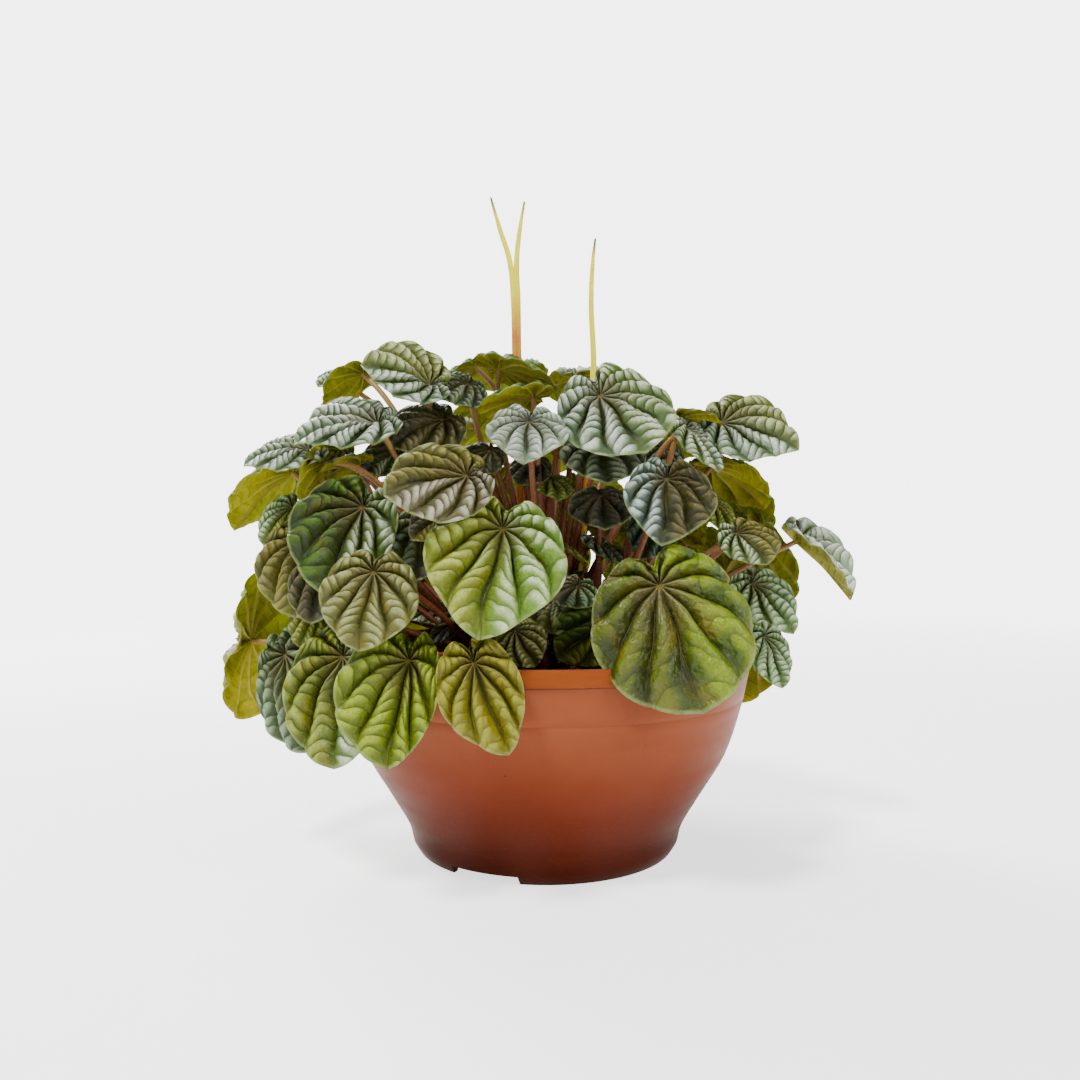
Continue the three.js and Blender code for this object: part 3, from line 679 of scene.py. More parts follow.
# %% Leaves at the front
FRONT_LEAVES = [
    # name, joint, tip, facing, width, (crown, droop, fold in degrees, lift), left and right look,
    # and where they aren't plain: skew, point
    ("centre_heart", (-16, -80, 140), (-24, -98, 100), (5, -95, 25), 0.92, (0.3, 0.4, 6, 0.1),
     "pale_green", "lime", 0, 0.6),
    ("olive_over_gap", (-29, -82, 159), (-58, -92, 151), (-5, -83, 56), 0.96, (0.3, 0.3, 0, 0.1),
     "silver_beige", "olive"),
    ("beige", (-62, -88, 124), (-66, -97, 96), (-2, -99, 15), 0.97, (0.5, 0.4, 0, 0.1),
     "beige", "beige", 0, 0.4),
    ("green_left", (-70, -66, 148), (-84, -76, 115), (-5, -97, 20), 0.88, (0.4, 0.3, 8, 0.1),
     "silver_green", "deep_green", -0.14, 0.3),
    ("bright_low", (-50, -84, 92), (-56, -98, 55), (-10, -98, 15), 0.75, (0.4, 0.4, 8, 0.1),
     "bright_lime", "bright_lime", -0.26, 0.2),
    ("narrow_low", (-26, -92, 92), (-13, -102, 61), (5, -98, 15), 0.68, (0.4, 0.4, 10, 0.1),
     "lime_beige", "lime_beige", -0.1, 0.5),
    ("biggest", (41, -82, 119), (55, -95, 74), (5, -98, 15), 1, (0.6, 0.4, 0, 0.2),
     "glossy_lime", "glossy", 0, -0.1),
    ("two_tone", (46, -64, 159), (42, -80, 133), (0, -85, 50), 0.9, (0.5, 0.4, 8, 0.2),
     "brown", "silver_blue", 0.1, 0.5),
    ("big_silver", (22, -42, 194), (39, -60, 169), (10, -88, 46), 1.12, (0.3, 0.3, 0, 0.7),
     "silver_green", "silver", 0.04, 0),
    ("small_silver", (-7, -52, 182), (-9, -64, 164), (0, -88, 45), 1.16, (0.5, 0.3, 12, 0.4),
     "bright_silver", "bright_silver", 0, 0.7),
    ("silver_top_left", (-48, -34, 200), (-75, -44, 206), (0, -78, 62), 0.98, (0.2, 0.2, 8, 0.3),
     "silver", "olive_silver", -0.12, 0.4),
    ("silver_left", (-67, -50, 182), (-99, -58, 173), (0, -62, 78), 0.95, (0.3, 0.4, 0, 0.1),
     "silver", "silver", -0.3, 0.7),
    ("silver_far_left", (-95, -46, 172), (-121, -50, 165), (-5, -52, 85), 0.95, (0.4, 0.5, 0, 0),
     "silver", "silver", -0.1, 0.6),
    ("olive_far_left", (-109, -20, 165), (-138, -10, 140), (-60, 42, 65), 0.75, (0.4, 0.4, 0, 0),
     "lime_beige", "silver_green", 0, 0.7),
    ("grey_hanging", (-98, -46, 136), (-99, -54, 104), (-15, -97, 15), 0.97, (0.5, 0.4, 0, 0),
     "beige", "olive", 0, 0.4),
    ("yellow_edge_on", (-126, -28, 93), (-117, 24, 83), (-95, 30, 10), 1, (0.2, 0.2, 8, 0),
     "lime_beige", "lime", 0, 0.1),
    ("dark_low", (-106, -46, 89), (-93, -56, 51), (-60, -80, 15), 0.85, (0.4, 0.4, 0, 0),
     "deep_silver", "deep_silver"),
    ("grey_low", (-78, -66, 91), (-80, -74, 49), (-15, -98, 12), 0.78, (0.4, 0.4, 8, 0),
     "silver_green", "olive_green"),
    ("silver_right", (77, -14, 187), (109, -22, 174), (5, -76, 65), 0.98, (0.2, 0.3, 0, 0.1),
     "olive_silver", "silver", 0.1, 0.8),
    ("folded_far_right", (113, -2, 135), (137, -6, 109), (64, -47, 61), 0.85, (0.1, 0.2, 30, 0.1),
     "bright_silver", "bright_silver", 0, 0.5),
    ("small_right", (79, -34, 138), (89, -45, 125), (20, -85, 50), 1.15, (0.5, 0.4, 0, 0.5),
     "olive", "silver_green", 0.2, 0.3),
    ("pale_right", (88, -24, 117), (103, -34, 96), (45, -85, 20), 0.9, (0.4, 0.3, 0, 0),
     "pale", "pale", 0, 0.8),
    ("pale_low_right", (89, -41, 96), (96, -44, 75), (55, -80, 15), 0.85, (0.4, 0.3, 0, 0),
     "pale", "pale", 0, 0.4),
    ("dark_silver", (23, -38, 177), (24, -54, 157), (5, -72, 68), 1.12, (0.5, 0.3, 0, 0.1),
     "dark_silver", "dark_silver", 0, 0.4),
    ("young_cup", (12, -56, 117), (5, -66, 110), (-10, -80, 60), 1.1, (0.2, 0.2, 0, 0.6),
     "deep_silver", "dull_beige", 0.1, 0.1),
    ("young_beige", (-12, -70, 101), (-4, -76, 88), (0, -95, 30), 0.95, (0.5, 0.4, 0, 0.1),
     "beige", "beige"),
    ("yellow_low", (26, -52, 106), (4, -61, 89), (0, -97, 20), 0.8, (0.4, 0.3, 0, 0), "lime", "green"),
    ("dark_shelf", (23, -28, 154), (24, -44, 139), (0, -75, 66), 1.05, (0.4, 0.3, 0, 0.1),
     "shade", "shade"),
    ("teal", (48, -26, 146), (39, -34, 127), (0, -95, 30), 0.8, (0.4, 0.3, 0, 0), "teal", "teal"),
    ("purple_hanging", (-86, -60, 127), (-90, -67, 103), (-30, -95, 15), 0.9, (0.4, 0.3, 0, 0),
     "shade", "brown"),
    ("purple_inner", (-47, -54, 143), (-51, -64, 119), (-10, -95, 30), 0.9, (0.4, 0.3, 0, 0),
     "shade", "dark_silver"),
    ("olive_inner", (-36, -62, 147), (-51, -70, 135), (-20, -80, 60), 0.9, (0.4, 0.3, 0, 0),
     "olive", "shade"),
    ("purple_upper", (-43, -30, 186), (-64, -42, 173), (0, -75, 65), 1, (0.4, 0.3, 0, 0.1),
     "brown", "shade"),
    ("striped_upper", (-33, -22, 202), (-45, -33, 194), (0, -80, 60), 1.2, (0.4, 0.3, 0, 0.1),
     "dark_silver", "dark_silver"),
    ("dark_left", (-61, -34, 172), (-74, -44, 162), (0, -75, 65), 0.95, (0.4, 0.3, 0, 0.1),
     "dark_silver", "shade"),
    ("olive_crown_low", (-6, -26, 196), (-28, -42, 190), (-10, 30, 95), 0.95, (0.5, 0.4, 0, 0),
     "green", "green"),
    ("olive_crown_up", (-20, -10, 211), (4, -28, 201), (10, 35, 93), 0.95, (0.5, 0.4, 0, 0),
     "green", "green"),
    ("green_crown", (-32, 2, 214), (-46, -12, 204), (-20, 35, 90), 0.95, (0.4, 0.3, 0, 0),
     "green", "silver_green"),
    ("fold_upper_left", (-79, -18, 207), (-96, -14, 193), (-60, 45, 66), 0.8, (0.3, 0.3, 10, 0),
     "green", "green"),
    ("grey_upper_left", (-88, 2, 210), (-101, -8, 203), (-20, -70, 70), 0.95, (0.4, 0.3, 0, 0.1),
     "silver", "silver"),
    ("green_upper_left", (-90, 12, 205), (-103, 8, 193), (-50, 50, 70), 0.8, (0.4, 0.3, 0, 0),
     "green", "green"),
    ("olive_right", (74, -6, 168), (100, 2, 149), (60, 45, 66), 0.85, (0.5, 0.5, 0, 0),
     "bright_lime", "green"),
    ("striped_right", (60, -24, 183), (72, -33, 163), (50, -45, 74), 0.95, (0.4, 0.4, 0, 0),
     "silver", "silver_green"),
    ("olive_rim", (-90, -46, 166), (-95, -52, 143), (-60, 40, 60), 0.9, (0.4, 0.3, 0, 0), "green", "olive"),
    ("striped_rim", (-105, -36, 149), (-116, -40, 133), (-30, -80, 40), 0.9, (0.4, 0.3, 0, 0),
     "lime", "pale"),
    ("rim_right", (57, -18, 188), (77, -14, 183), (10, 40, 90), 0.8, (0.4, 0.3, 0, 0), "green", "olive"),
    ("side_right", (97, 4, 105), (99, 6, 73), (98, 5, 12), 0.9, (0.4, 0.3, 0, 0), "silver_green", "pale"),
]
PLAIN_POINT = 0.3
print(len(FRONT_LEAVES), "leaves at the front")

# %% Leaves in tiers
TIERS = [
    # name, count, first and last degrees, joint and tip (radius, height), up, step
    ("hanging", 7, 28, 172, (96, 95), (100, 54), 0.15, 0),
    ("side", 7, 16, 160, (90, 136), (103, 99), 0.3, 0),
    ("shoulder", 6, 14, 168, (76, 166), (99, 139), 0.65, 0),
    ("crown", 5, 20, 146, (50, 194), (86, 178), 1.6, 5),
    ("top", 2, 54, 122, (22, 212), (58, 208), 4, 3),
    ("inner_high", 5, 24, 156, (52, 152), (74, 130), 0.6, 0),
    ("inner_low", 5, 20, 160, (60, 114), (76, 94), 0.4, 0),
    ("inner_front", 5, 207, 344, (40, 108), (58, 98), 1.2, 0),
]
print(sum(tier[1] for tier in TIERS), "leaves in", len(TIERS), "tiers")

# %% Place every leaf
SHINGLE_DEGREES = 14
SIDE_STRETCH = 1.12
UNEVEN_TURN = 5
UNEVEN_RADIUS, UNEVEN_HEIGHT, UNEVEN_DEGREES = 2, 3, 5
TIER_WIDTH, UNEVEN_WIDTH = 0.92, 0.08
TIER_FORM = (0.4, 0.35, 0, 0.1)
TIER_POINT = 0.4
TIER_LOOKS = ("silver", "silver", "silver_green", "silver_green", "green", "beige", "lime", "silver_beige")


def make_leaf(name, joint, tip, facing, width, form, left_look, right_look, skew=0, point=PLAIN_POINT):
    """What is known of a leaf: its length in mm, and the ways of its tip, its upper side and its left."""
    joint, tip = np.array(joint, float), np.array(tip, float)
    ahead = tip - joint
    length = np.linalg.norm(ahead)
    ahead /= length
    up = np.array(facing, float)
    up -= up.dot(ahead) * ahead
    up /= np.linalg.norm(up)
    return dict(name=name, joint=joint, length=length, ahead=ahead, up=up, left=np.cross(up, ahead),
                width=width, form=form, skew=skew, point=point, looks=(left_look, right_look))


def on_dome(radius, height, degrees):
    """A place in mm on a dome that is stretched sideways, as the plant is."""
    turn = math.radians(degrees)
    return (radius * math.cos(turn) * SIDE_STRETCH, radius * math.sin(turn), height)


def tier_leaves(name, count, first, last, joint, tip, up, step):
    leaves = []
    for number in range(count):
        degrees = first + (last - first) * number / (count - 1)
        uneven = math.sin(UNEVEN_TURN * number + count)
        stair = step if number % 2 else -step
        wider, higher = UNEVEN_RADIUS * uneven, UNEVEN_HEIGHT * uneven
        joint_place = on_dome(joint[0] + wider, joint[1] + higher + stair, degrees)
        tip_place = on_dome(tip[0] + wider, tip[1] - higher + stair, degrees + UNEVEN_DEGREES * uneven)
        facing = math.radians(degrees + SHINGLE_DEGREES)
        look = chance.choice(TIER_LOOKS)
        other_look = chance.choice((look, look, "green", "silver_green"))
        leaves.append(make_leaf(f"{name}_{number}", joint_place, tip_place,
                                (math.cos(facing), math.sin(facing), up), TIER_WIDTH + UNEVEN_WIDTH * uneven,
                                TIER_FORM, look, other_look, point=TIER_POINT))
    return leaves


leaves = [make_leaf(*row) for row in FRONT_LEAVES] + [leaf for tier in TIERS for leaf in tier_leaves(*tier)]
front_names = {row[0] for row in FRONT_LEAVES}
print(len(leaves), "leaves in all")

# %% [markdown]
# Each leaf belongs to one plantlet, the one whose stem is nearest. The middle plantlet has the leaves
# that stand high over the pot's middle.

# %% Share the leaves among the plantlets
STEM_CIRCLE_RADIUS = 26
STEM_TOP = 82
CENTRE_RISE = 132
CENTRE = "plantlet_centre"
AROUND = ["plantlet_front", "plantlet_front_right", "plantlet_back_right", "plantlet_back",
          "plantlet_back_left", "plantlet_front_left"]
SECTOR_DEGREES = 60
FRONT_DEGREES = -90


def plantlet_of(leaf):
    x, y, z = leaf["joint"]
    if z - math.hypot(x, y) > CENTRE_RISE:
        return CENTRE
    sector = math.floor((math.degrees(math.atan2(y, x)) - FRONT_DEGREES) / SECTOR_DEGREES + 0.5)
    return AROUND[sector % len(AROUND)]


def stem_place(plantlet):
    if plantlet == CENTRE:
        return np.array((0.0, 0.0, STEM_TOP))
    turn = math.radians(SECTOR_DEGREES * AROUND.index(plantlet) + FRONT_DEGREES)
    return np.array((STEM_CIRCLE_RADIUS * math.cos(turn), STEM_CIRCLE_RADIUS * math.sin(turn), STEM_TOP))


plantlets = {name: [leaf for leaf in leaves if plantlet_of(leaf) == name] for name in [CENTRE, *AROUND]}
print({name: len(own) for name, own in plantlets.items()})

# %% [markdown]
# Young leaves
#
# New leaves unfold in the middle of each plantlet, on shorter stalks and in the shade of the old ones.
# They are too small for the CAD model. Each next one is turned on by the angle that plants use, so no
# two stand above each other.

# %% Place the young leaves
YOUNG_LEAVES = 6
GROWTH_TURN = math.radians(137.5)
CENTRE_YOUNG_RISE, YOUNG_RISE, RISE_STEP, UNEVEN_RISE = 96, 50, 9, 4
YOUNG_OUT, OUT_STEP = 6, 3.6
YOUNG_LENGTHS, YOUNG_WIDTHS = (13, 19), (0.85, 1)
YOUNG_AHEAD, YOUNG_DROP, YOUNG_UP = 0.8, 0.6, 0.9
YOUNG_FORM, YOUNG_FRONT_FORM, YOUNG_FRONT_WIDTH = (0.5, 0.4, 6, 0.1), (0.5, 0.4, 0, 0.1), 0.95
YOUNG_POINT = 0.4
# Mostly darker looks, as painted shade under the old leaves.
YOUNG_LOOKS = ("shade", "brown", "olive", "dark_silver", "olive_green")
YOUNG_FRONT_LEAVES = [
    # plantlet, joint, tip, facing, look
    ("plantlet_front_left", (-76, -40, 166), (-95, -46, 158), (-40, 30, 80), "green"),
    ("plantlet_front_left", (-84, -38, 173), (-98, -42, 164), (-10, -70, 60), "olive"),
    ("plantlet_front_left", (-91, -50, 108), (-97, -56, 93), (-30, -90, 20), "olive_green"),
    (CENTRE, (-24, -24, 173), (-34, -32, 162), (0, -75, 65), "shade"),
    (CENTRE, (-4, -20, 169), (-12, -28, 158), (0, -75, 65), "shade"),
    (CENTRE, (52, -10, 176), (46, -20, 161), (20, -70, 60), "dark_silver"),
    ("plantlet_front_right", (74, -8, 152), (80, -14, 138), (40, -60, 50), "olive_green"),
]


def young_leaves(plantlet):
    young = []
    for number in range(YOUNG_LEAVES):
        turn = number * GROWTH_TURN + chance.uniform(0, 1)
        outward = np.array((math.cos(turn), math.sin(turn), 0))
        rise = CENTRE_YOUNG_RISE if plantlet == CENTRE else YOUNG_RISE
        rise = rise - RISE_STEP * number + chance.uniform(-UNEVEN_RISE, UNEVEN_RISE)
        joint = stem_place(plantlet) + (YOUNG_OUT + OUT_STEP * number) * outward + (0, 0, rise)
        tip = joint + chance.uniform(*YOUNG_LENGTHS) * (YOUNG_AHEAD * outward - (0, 0, YOUNG_DROP))
        look = chance.choice(YOUNG_LOOKS)
        young.append(make_leaf(f"{plantlet}_young_{number}", joint, tip, outward + (0, 0, YOUNG_UP),
                               chance.uniform(*YOUNG_WIDTHS), YOUNG_FORM, look, look, point=YOUNG_POINT))
    return young


young = {plantlet: young_leaves(plantlet) for plantlet in plantlets}
for number, (plantlet, joint, tip, facing, look) in enumerate(YOUNG_FRONT_LEAVES):
    young[plantlet].append(make_leaf(f"young_front_{number}", joint, tip, facing, YOUNG_FRONT_WIDTH,
                                     YOUNG_FRONT_FORM, look, look, point=YOUNG_POINT))
print(sum(len(own) for own in young.values()), "young leaves")

# %% [markdown]
# The blank of a leaf
#
# All leaves are shaped from one flat blank. It starts as a filled circle, which is inset ring by ring,
# so that it has columns running out from the joint and rings round it. A turned-over copy makes the
# underside, and a narrow band joins the two at the margin. A vertex of the blank tells by its place
# which vein it lies beside and how far out it is. Leaves that the front doesn't show get fewer rings.

# %% Model a blank
VEINS = 11
BLANK_THICKNESS = 0.02


def model_blank(name, columns_per_vein, rings):
    bpy.ops.mesh.primitive_circle_add(vertices=VEINS * columns_per_vein, radius=1, fill_type="NGON",
                                      location=(0, 0, BLANK_THICKNESS / 2), rotation=(0, 0, math.pi / 2))
    piece = new_piece(name)
    apply_place(piece)
    start_editing(piece)
    for _ in range(rings - 1):
        bpy.ops.mesh.inset(thickness=1 / rings)
    bpy.ops.mesh.poke()
    bpy.ops.mesh.select_all(action="SELECT")
    bpy.ops.mesh.duplicate_move(TRANSFORM_OT_translate={"value": (0, 0, -BLANK_THICKNESS)})
    bpy.ops.mesh.flip_normals()
    bpy.ops.mesh.select_all(action="SELECT")
    bpy.ops.mesh.region_to_loop()
    bpy.ops.mesh.bridge_edge_loops(number_cuts=1)
    stop_editing()
    print(name, "has", len(piece.data.vertices), "points and", len(piece.data.polygons), "faces")
    return piece


# %% Read each point's place on a blank
POLE_REACH = 0.001
INSIDE_FACE = 0.9999


def read_numbers(collection, name, kind, width=1):
    values = np.empty(len(collection) * width, kind)
    collection.foreach_get(name, values)
    return values.reshape(-1, width) if width > 1 else values


def read_blank(name, columns_per_vein, rings):
    """The direction, the reach and the side of each vertex, and the same for each corner of a face."""
    piece = model_blank(name, columns_per_vein, rings)
    points = read_numbers(piece.data.vertices, "co", float, 3)
    out = np.minimum(np.round(np.hypot(points[:, 0], points[:, 1]) * rings) / rings, 1)
    around = np.where(out < POLE_REACH, 0, np.arctan2(points[:, 1], points[:, 0]))
    side = np.round(points[:, 2] / (BLANK_THICKNESS / 2))
    corners = read_numbers(piece.data.loops, "vertex_index", np.int32)
    face_sizes = read_numbers(piece.data.polygons, "loop_total", np.int32)
    centres = read_numbers(piece.data.polygons, "center", float, 3)
    face_around = np.repeat(np.arctan2(centres[:, 1], centres[:, 0]), face_sizes)
    apart = (around[corners] - face_around + np.pi) % (2 * np.pi) - np.pi
    apart = np.where(out[corners] < POLE_REACH, 0, apart)
    return dict(piece=piece, around=around, out=out, side=side, on_margin=(side == 0).astype(float),
                corners=corners, corner_out=out[corners], corner_around=face_around + INSIDE_FACE * apart)


leaf_blank = read_blank("leaf_blank", 8, 28)
tier_blank = read_blank("tier_leaf_blank", 6, 18)
young_blank = read_blank("young_leaf_blank", 4, 7)
blanks = (leaf_blank, tier_blank, young_blank)

# %% [markdown]
# The outline and the bends of a blade
#
# The outline is a circle round a point ahead of the joint, drawn out at the tip and notched between
# the back lobes. The blade is folded along its middle, crowned across and drooped towards its tip. A
# lattice could bend it too, but these are the rules that the CAD leaves follow, so a fine leaf lies
# exactly on its CAD leaf.

# %% Outline and bends
VEIN_BEND = 0.35
FOLD_SOFTNESS, LIFT_SOFTNESS = 0.03, 0.063
OUTLINE_CENTRE, OUTLINE_RADIUS = 0.33, 0.62
TIP_LENGTH, TIP_ANGLE = 0.05, 0.12
TAPER_DEPTH, TAPER_PLACE, TAPER_ANGLE = 0.12, 0.5, 0.3
LOBE_NOTCH_DEPTH, LOBE_NOTCH_ANGLE = 0.15, 0.28


def blade_radius(angle, point):
    turn = np.abs(angle)
    circle = (OUTLINE_CENTRE * np.cos(turn)
              + np.sqrt(OUTLINE_RADIUS ** 2 - (OUTLINE_CENTRE * np.sin(turn)) ** 2))
    tip = TIP_LENGTH * np.exp(-turn / TIP_ANGLE)
    taper = TAPER_DEPTH * point * np.exp(-((turn - TAPER_PLACE) / TAPER_ANGLE) ** 2)
    notch = LOBE_NOTCH_DEPTH * np.exp(-((math.pi - turn) / LOBE_NOTCH_ANGLE) ** 2)
    return circle + tip - taper - notch


def leaf_scale(leaf):
    droop = leaf["form"][1]
    return leaf["length"] * droop / (2 * math.sin(droop / 2))


def blade_places(leaf, along, reach, rise):
    """Points in mm from places on the blank and from heights over the blade's middle."""
    crown, droop, fold_degrees, lift = leaf["form"]
    angle = along - VEIN_BEND * reach * np.sin(along)
    radius = reach * blade_radius(angle, leaf["point"])
    u = radius * np.cos(angle)
    v = radius * np.sin(angle) * leaf["width"]
    v = v * np.where(v > 0, 1 + leaf["skew"], 1 - leaf["skew"])
    w = rise + lift * (np.hypot(u, LIFT_SOFTNESS) - u) / 2
    fold = math.radians(fold_degrees)
    w = w + (np.hypot(v, FOLD_SOFTNESS) - FOLD_SOFTNESS) * math.sin(fold)
    v = v * math.cos(fold)
    w, v = (1 / crown + w) * np.cos(crown * v) - 1 / crown, (1 / crown + w) * np.sin(crown * v)
    w, u = (1 / droop + w) * np.cos(droop * u) - 1 / droop, (1 / droop + w) * np.sin(droop * u)
    half = droop / 2
    u, w = u * math.cos(half) - w * math.sin(half), u * math.sin(half) + w * math.cos(half)
    return leaf["joint"] + leaf_scale(leaf) * (np.outer(u, leaf["ahead"]) + np.outer(v, leaf["left"])
                                               + np.outer(w, leaf["up"]))


print("a blade's outline ahead, sideways and back:",
      blade_radius(np.radians((0, 90, 180)), PLAIN_POINT).round(2))

# %% [markdown]
# The ripples
#
# The veins lie in grooves, and the blade swells between them. From each vein, side veins slant out
# towards the next one and break the swelling into pillows that lap over each other like scales. A
# picture could displace the blade, but then nothing would keep the grooves on the veins. So the swelling
# is worked out from the vein and the reach of each point, and a pillow number is kept for it, by which
# the material follows the same side veins.

# %% Ribs and pillows
RIB_HEIGHT, RIB_LEAN, RIB_ROUNDNESS = 0.08, 1.5, 0.7
PILLOW_HEIGHT, PILLOW_LEAN, PILLOW_ROUNDNESS = 0.028, 0.55, 0.75
PILLOWS = 8
SLANTS = (2.2, 2.0, 1.7, 1.4, 1.0, 0.8)
RIB_PILLOWS = (1, 0.9, 0.78, 0.7, 0.65, 0.6)
SWOOP = 2.4
CROWDING = 0.9
FLAT_JOINT, PILLOWS_START, PILLOWS_FULL = 0.36, 0.12, 0.4
FLAT_MARGIN, FLATNESS = 0.72, 0.5


def smooth_step(low, high, value):
    share = np.clip((value - low) / (high - low), 0, 1)
    return share * share * (3 - 2 * share)


def rib_places(angle):
    """For each angle: its rib's number, and its share of the way from the inner vein to the outer one."""
    number = angle * VEINS / (2 * math.pi)
    inner = np.floor(np.abs(number)).astype(int)
    return number, inner, np.abs(number) - inner


def own_value(number, inner, values):
    """Each rib's own value: the first half of the list is for the right ribs, the rest for the left."""
    return np.where(number < 0, values[inner], values[inner + len(SLANTS)])


def pillow_numbers(angle, reach, leaf):
    number, inner, share = rib_places(angle)
    pillows = leaf["pillows"]
    slant = np.array(SLANTS)[inner] * min(pillows / PILLOWS, 1)
    seed = own_value(number, inner, leaf["seeds"])
    return pillows * np.array(RIB_PILLOWS)[inner] * reach ** CROWDING - slant * share ** SWOOP + seed


def ripple(angle, reach, pillow, leaf):
    number, inner, share = rib_places(angle)
    size = own_value(number, inner, leaf["rib_sizes"])
    leaning = share ** RIB_LEAN
    rib = (4 * leaning * (1 - leaning)) ** RIB_ROUNDNESS
    within = pillow - np.floor(pillow)
    scale = np.sin(np.pi * within ** PILLOW_LEAN) ** PILLOW_ROUNDNESS
    near_margin = 1 - FLATNESS * smooth_step(FLAT_MARGIN, 1, reach)
    swelling = RIB_HEIGHT * size * rib * smooth_step(0, FLAT_JOINT, reach)
    scales = (PILLOW_HEIGHT * leaf["strength"] * scale * rib ** 0.5
              * smooth_step(PILLOWS_START, PILLOWS_FULL, reach))
    return (swelling + scales) * near_margin - RIB_HEIGHT / 2


print(len(SLANTS), "ribs on each half of a blade, the first with about", PILLOWS, "pillows")

# %% [markdown]
# Looks of the leaves
#
# A young leaf is silvery on its swellings, and an old one turns green, lime or olive. A leaf in the shade
# gets a darker look, brown, blue or dark grey-green, as painted shade. Each look is three paints: groove,
# flesh and ridge. The groove paint is partly the leaf's own darker colour and partly painted shade, and
# the ridge paint is the lighter colour of the swellings, partly painted highlight. They are written to
# the blade's vertices, left half and right half, and the material mixes them by the grooves. A material
# for each look would do it too, but it couldn't fade from one half of a blade to the other.

# %% Paints
LOOKS = {
    # look: groove, flesh, ridge
    "silver": ((2, 6, 1), (98, 124, 86), (244, 255, 236)),
    "bright_silver": ((28, 36, 22), (176, 194, 166), (250, 255, 246)),
    "olive_silver": ((22, 22, 5), (104, 110, 40), (208, 218, 158)),
    "silver_blue": ((8, 13, 11), (78, 96, 86), (202, 220, 208)),
    "silver_green": ((8, 18, 2), (100, 128, 56), (242, 254, 220)),
    "deep_silver": ((8, 14, 5), (50, 72, 36), (156, 182, 138)),
    "silver_beige": ((16, 12, 6), (102, 92, 62), (206, 200, 176)),
    "beige": ((34, 28, 10), (112, 110, 50), (184, 190, 126)),
    "pale_green": ((34, 54, 2), (120, 160, 48), (226, 244, 188)),
    "dull_beige": ((28, 24, 16), (88, 82, 58), (140, 134, 104)),
    "pale": ((28, 46, 20), (104, 140, 76), (210, 232, 192)),
    "green": ((6, 12, 1), (46, 82, 2), (126, 164, 56)),
    "deep_green": ((2, 6, 0), (26, 50, 0), (80, 118, 12)),
    "lime": ((44, 46, 2), (124, 138, 10), (206, 222, 104)),
    "bright_lime": ((38, 48, 0), (106, 122, 0), (170, 192, 40)),
    "lime_beige": ((84, 72, 14), (128, 122, 18), (170, 168, 52)),
    "olive": ((24, 20, 3), (92, 86, 20), (158, 152, 74)),
    "olive_green": ((24, 30, 2), (96, 112, 12), (172, 188, 74)),
    "glossy": ((8, 7, 0), (54, 64, 2), (106, 120, 22)),
    "glossy_lime": ((9, 13, 0), (74, 98, 0), (142, 164, 0)),
    # brown, dark_silver, shade and teal: darker looks for leaves in the shade, as painted shade.
    "brown": ((8, 7, 2), (46, 40, 15), (112, 100, 58)),
    "dark_silver": ((6, 9, 4), (34, 44, 27), (150, 164, 134)),
    "shade": ((8, 7, 4), (34, 30, 20), (92, 86, 66)),
    "teal": ((5, 12, 10), (26, 48, 40), (84, 118, 106)),
}
PAINTS = {look: [np.array(srgb(*paint)) for paint in paints] for look, paints in LOOKS.items()}
YELLOWING = {"lime": 0.25, "glossy_lime": 0.35, "glossy": 0.3, "green": 0.3, "olive": 0.3, "olive_green": 0.4,
             "lime_beige": 0.3, "beige": 0.25, "deep_green": 0.15}
YELLOW_PAINT = np.array(srgb(176, 150, 14))
PILLOW_STRENGTH = {"silver": 1.35, "bright_silver": 1.3, "dark_silver": 1.2, "silver_green": 1.15,
                   "pale": 1.15, "lime_beige": 0.8, "glossy": 0.6, "glossy_lime": 0.6, "dull_beige": 0.6}
PILLOW_COUNTS = {"silver": 9.5, "bright_silver": 9, "pale": 9, "silver_green": 8.5, "glossy": 5,
                 "glossy_lime": 5}
print(len(LOOKS), "looks of three paints each")

# %% [markdown]
# Making a leaf from the blank
#
# No two leaves are alike, so each one first draws its own ribs and pillows. A copy of the blank then
# gets the leaf's own points, the paints and two maps. The first map holds the vein number and the way
# out from the joint, and the second holds the pillow number and how strong the pillows are.

# %% Draw a leaf's ribs and place its points
BLADE_THICKNESS = 0.8
RIB_SIZES, PILLOW_SPREAD = (0.75, 1.15), (0.9, 1.1)
SMOOTH_LEAF, SMOOTH_RIBS = 0.7, 0.8
WOBBLE, WOBBLE_WAVES = 0.45, 6
MARGIN_BULGE = 0.012
VEIN_WANDER = 0.07
MARGIN_WAVE, MARGIN_WAVES = 0.012, 3
SCALLOP_DEPTH, EDGE_ONLY = 0.012, 6
BOX_LOW, BOX_HIGH = np.array(cad_box) / MM
TORN_LEAF = "biggest"
TEAR_ANGLE, TEAR_ANGLE_WIDTH, TEAR_DEPTH = 1.65, 0.07, 0.12


def look_value(leaf, table, usual):
    return 0.5 * sum(table.get(look, usual) for look in leaf["looks"])


def draw_ribs(leaf):
    leaf["seeds"] = np.array([chance.uniform(0, 1) for _ in range(2 * len(SLANTS))])
    leaf["rib_sizes"] = np.array([chance.uniform(*RIB_SIZES) for _ in range(2 * len(SLANTS))])
    leaf["phase"] = chance.uniform(0, 2 * math.pi)
    leaf["strength"] = look_value(leaf, PILLOW_STRENGTH, 1)
    if leaf["strength"] < SMOOTH_LEAF:
        leaf["rib_sizes"] *= SMOOTH_RIBS
    leaf["pillows"] = look_value(leaf, PILLOW_COUNTS, PILLOWS) * chance.uniform(*PILLOW_SPREAD)


def soft_patches(points, waves, phase):
    """A smooth value from 0 to 1 that wanders over a set of points on the blank."""
    x, y = points[:, 0] * waves, points[:, 1] * waves
    wander = np.sin(x + 1.7 * np.sin(y + phase)) * np.sin(y + 1.3 * np.sin(x + 2 * phase))
    return 0.5 + 0.5 * wander


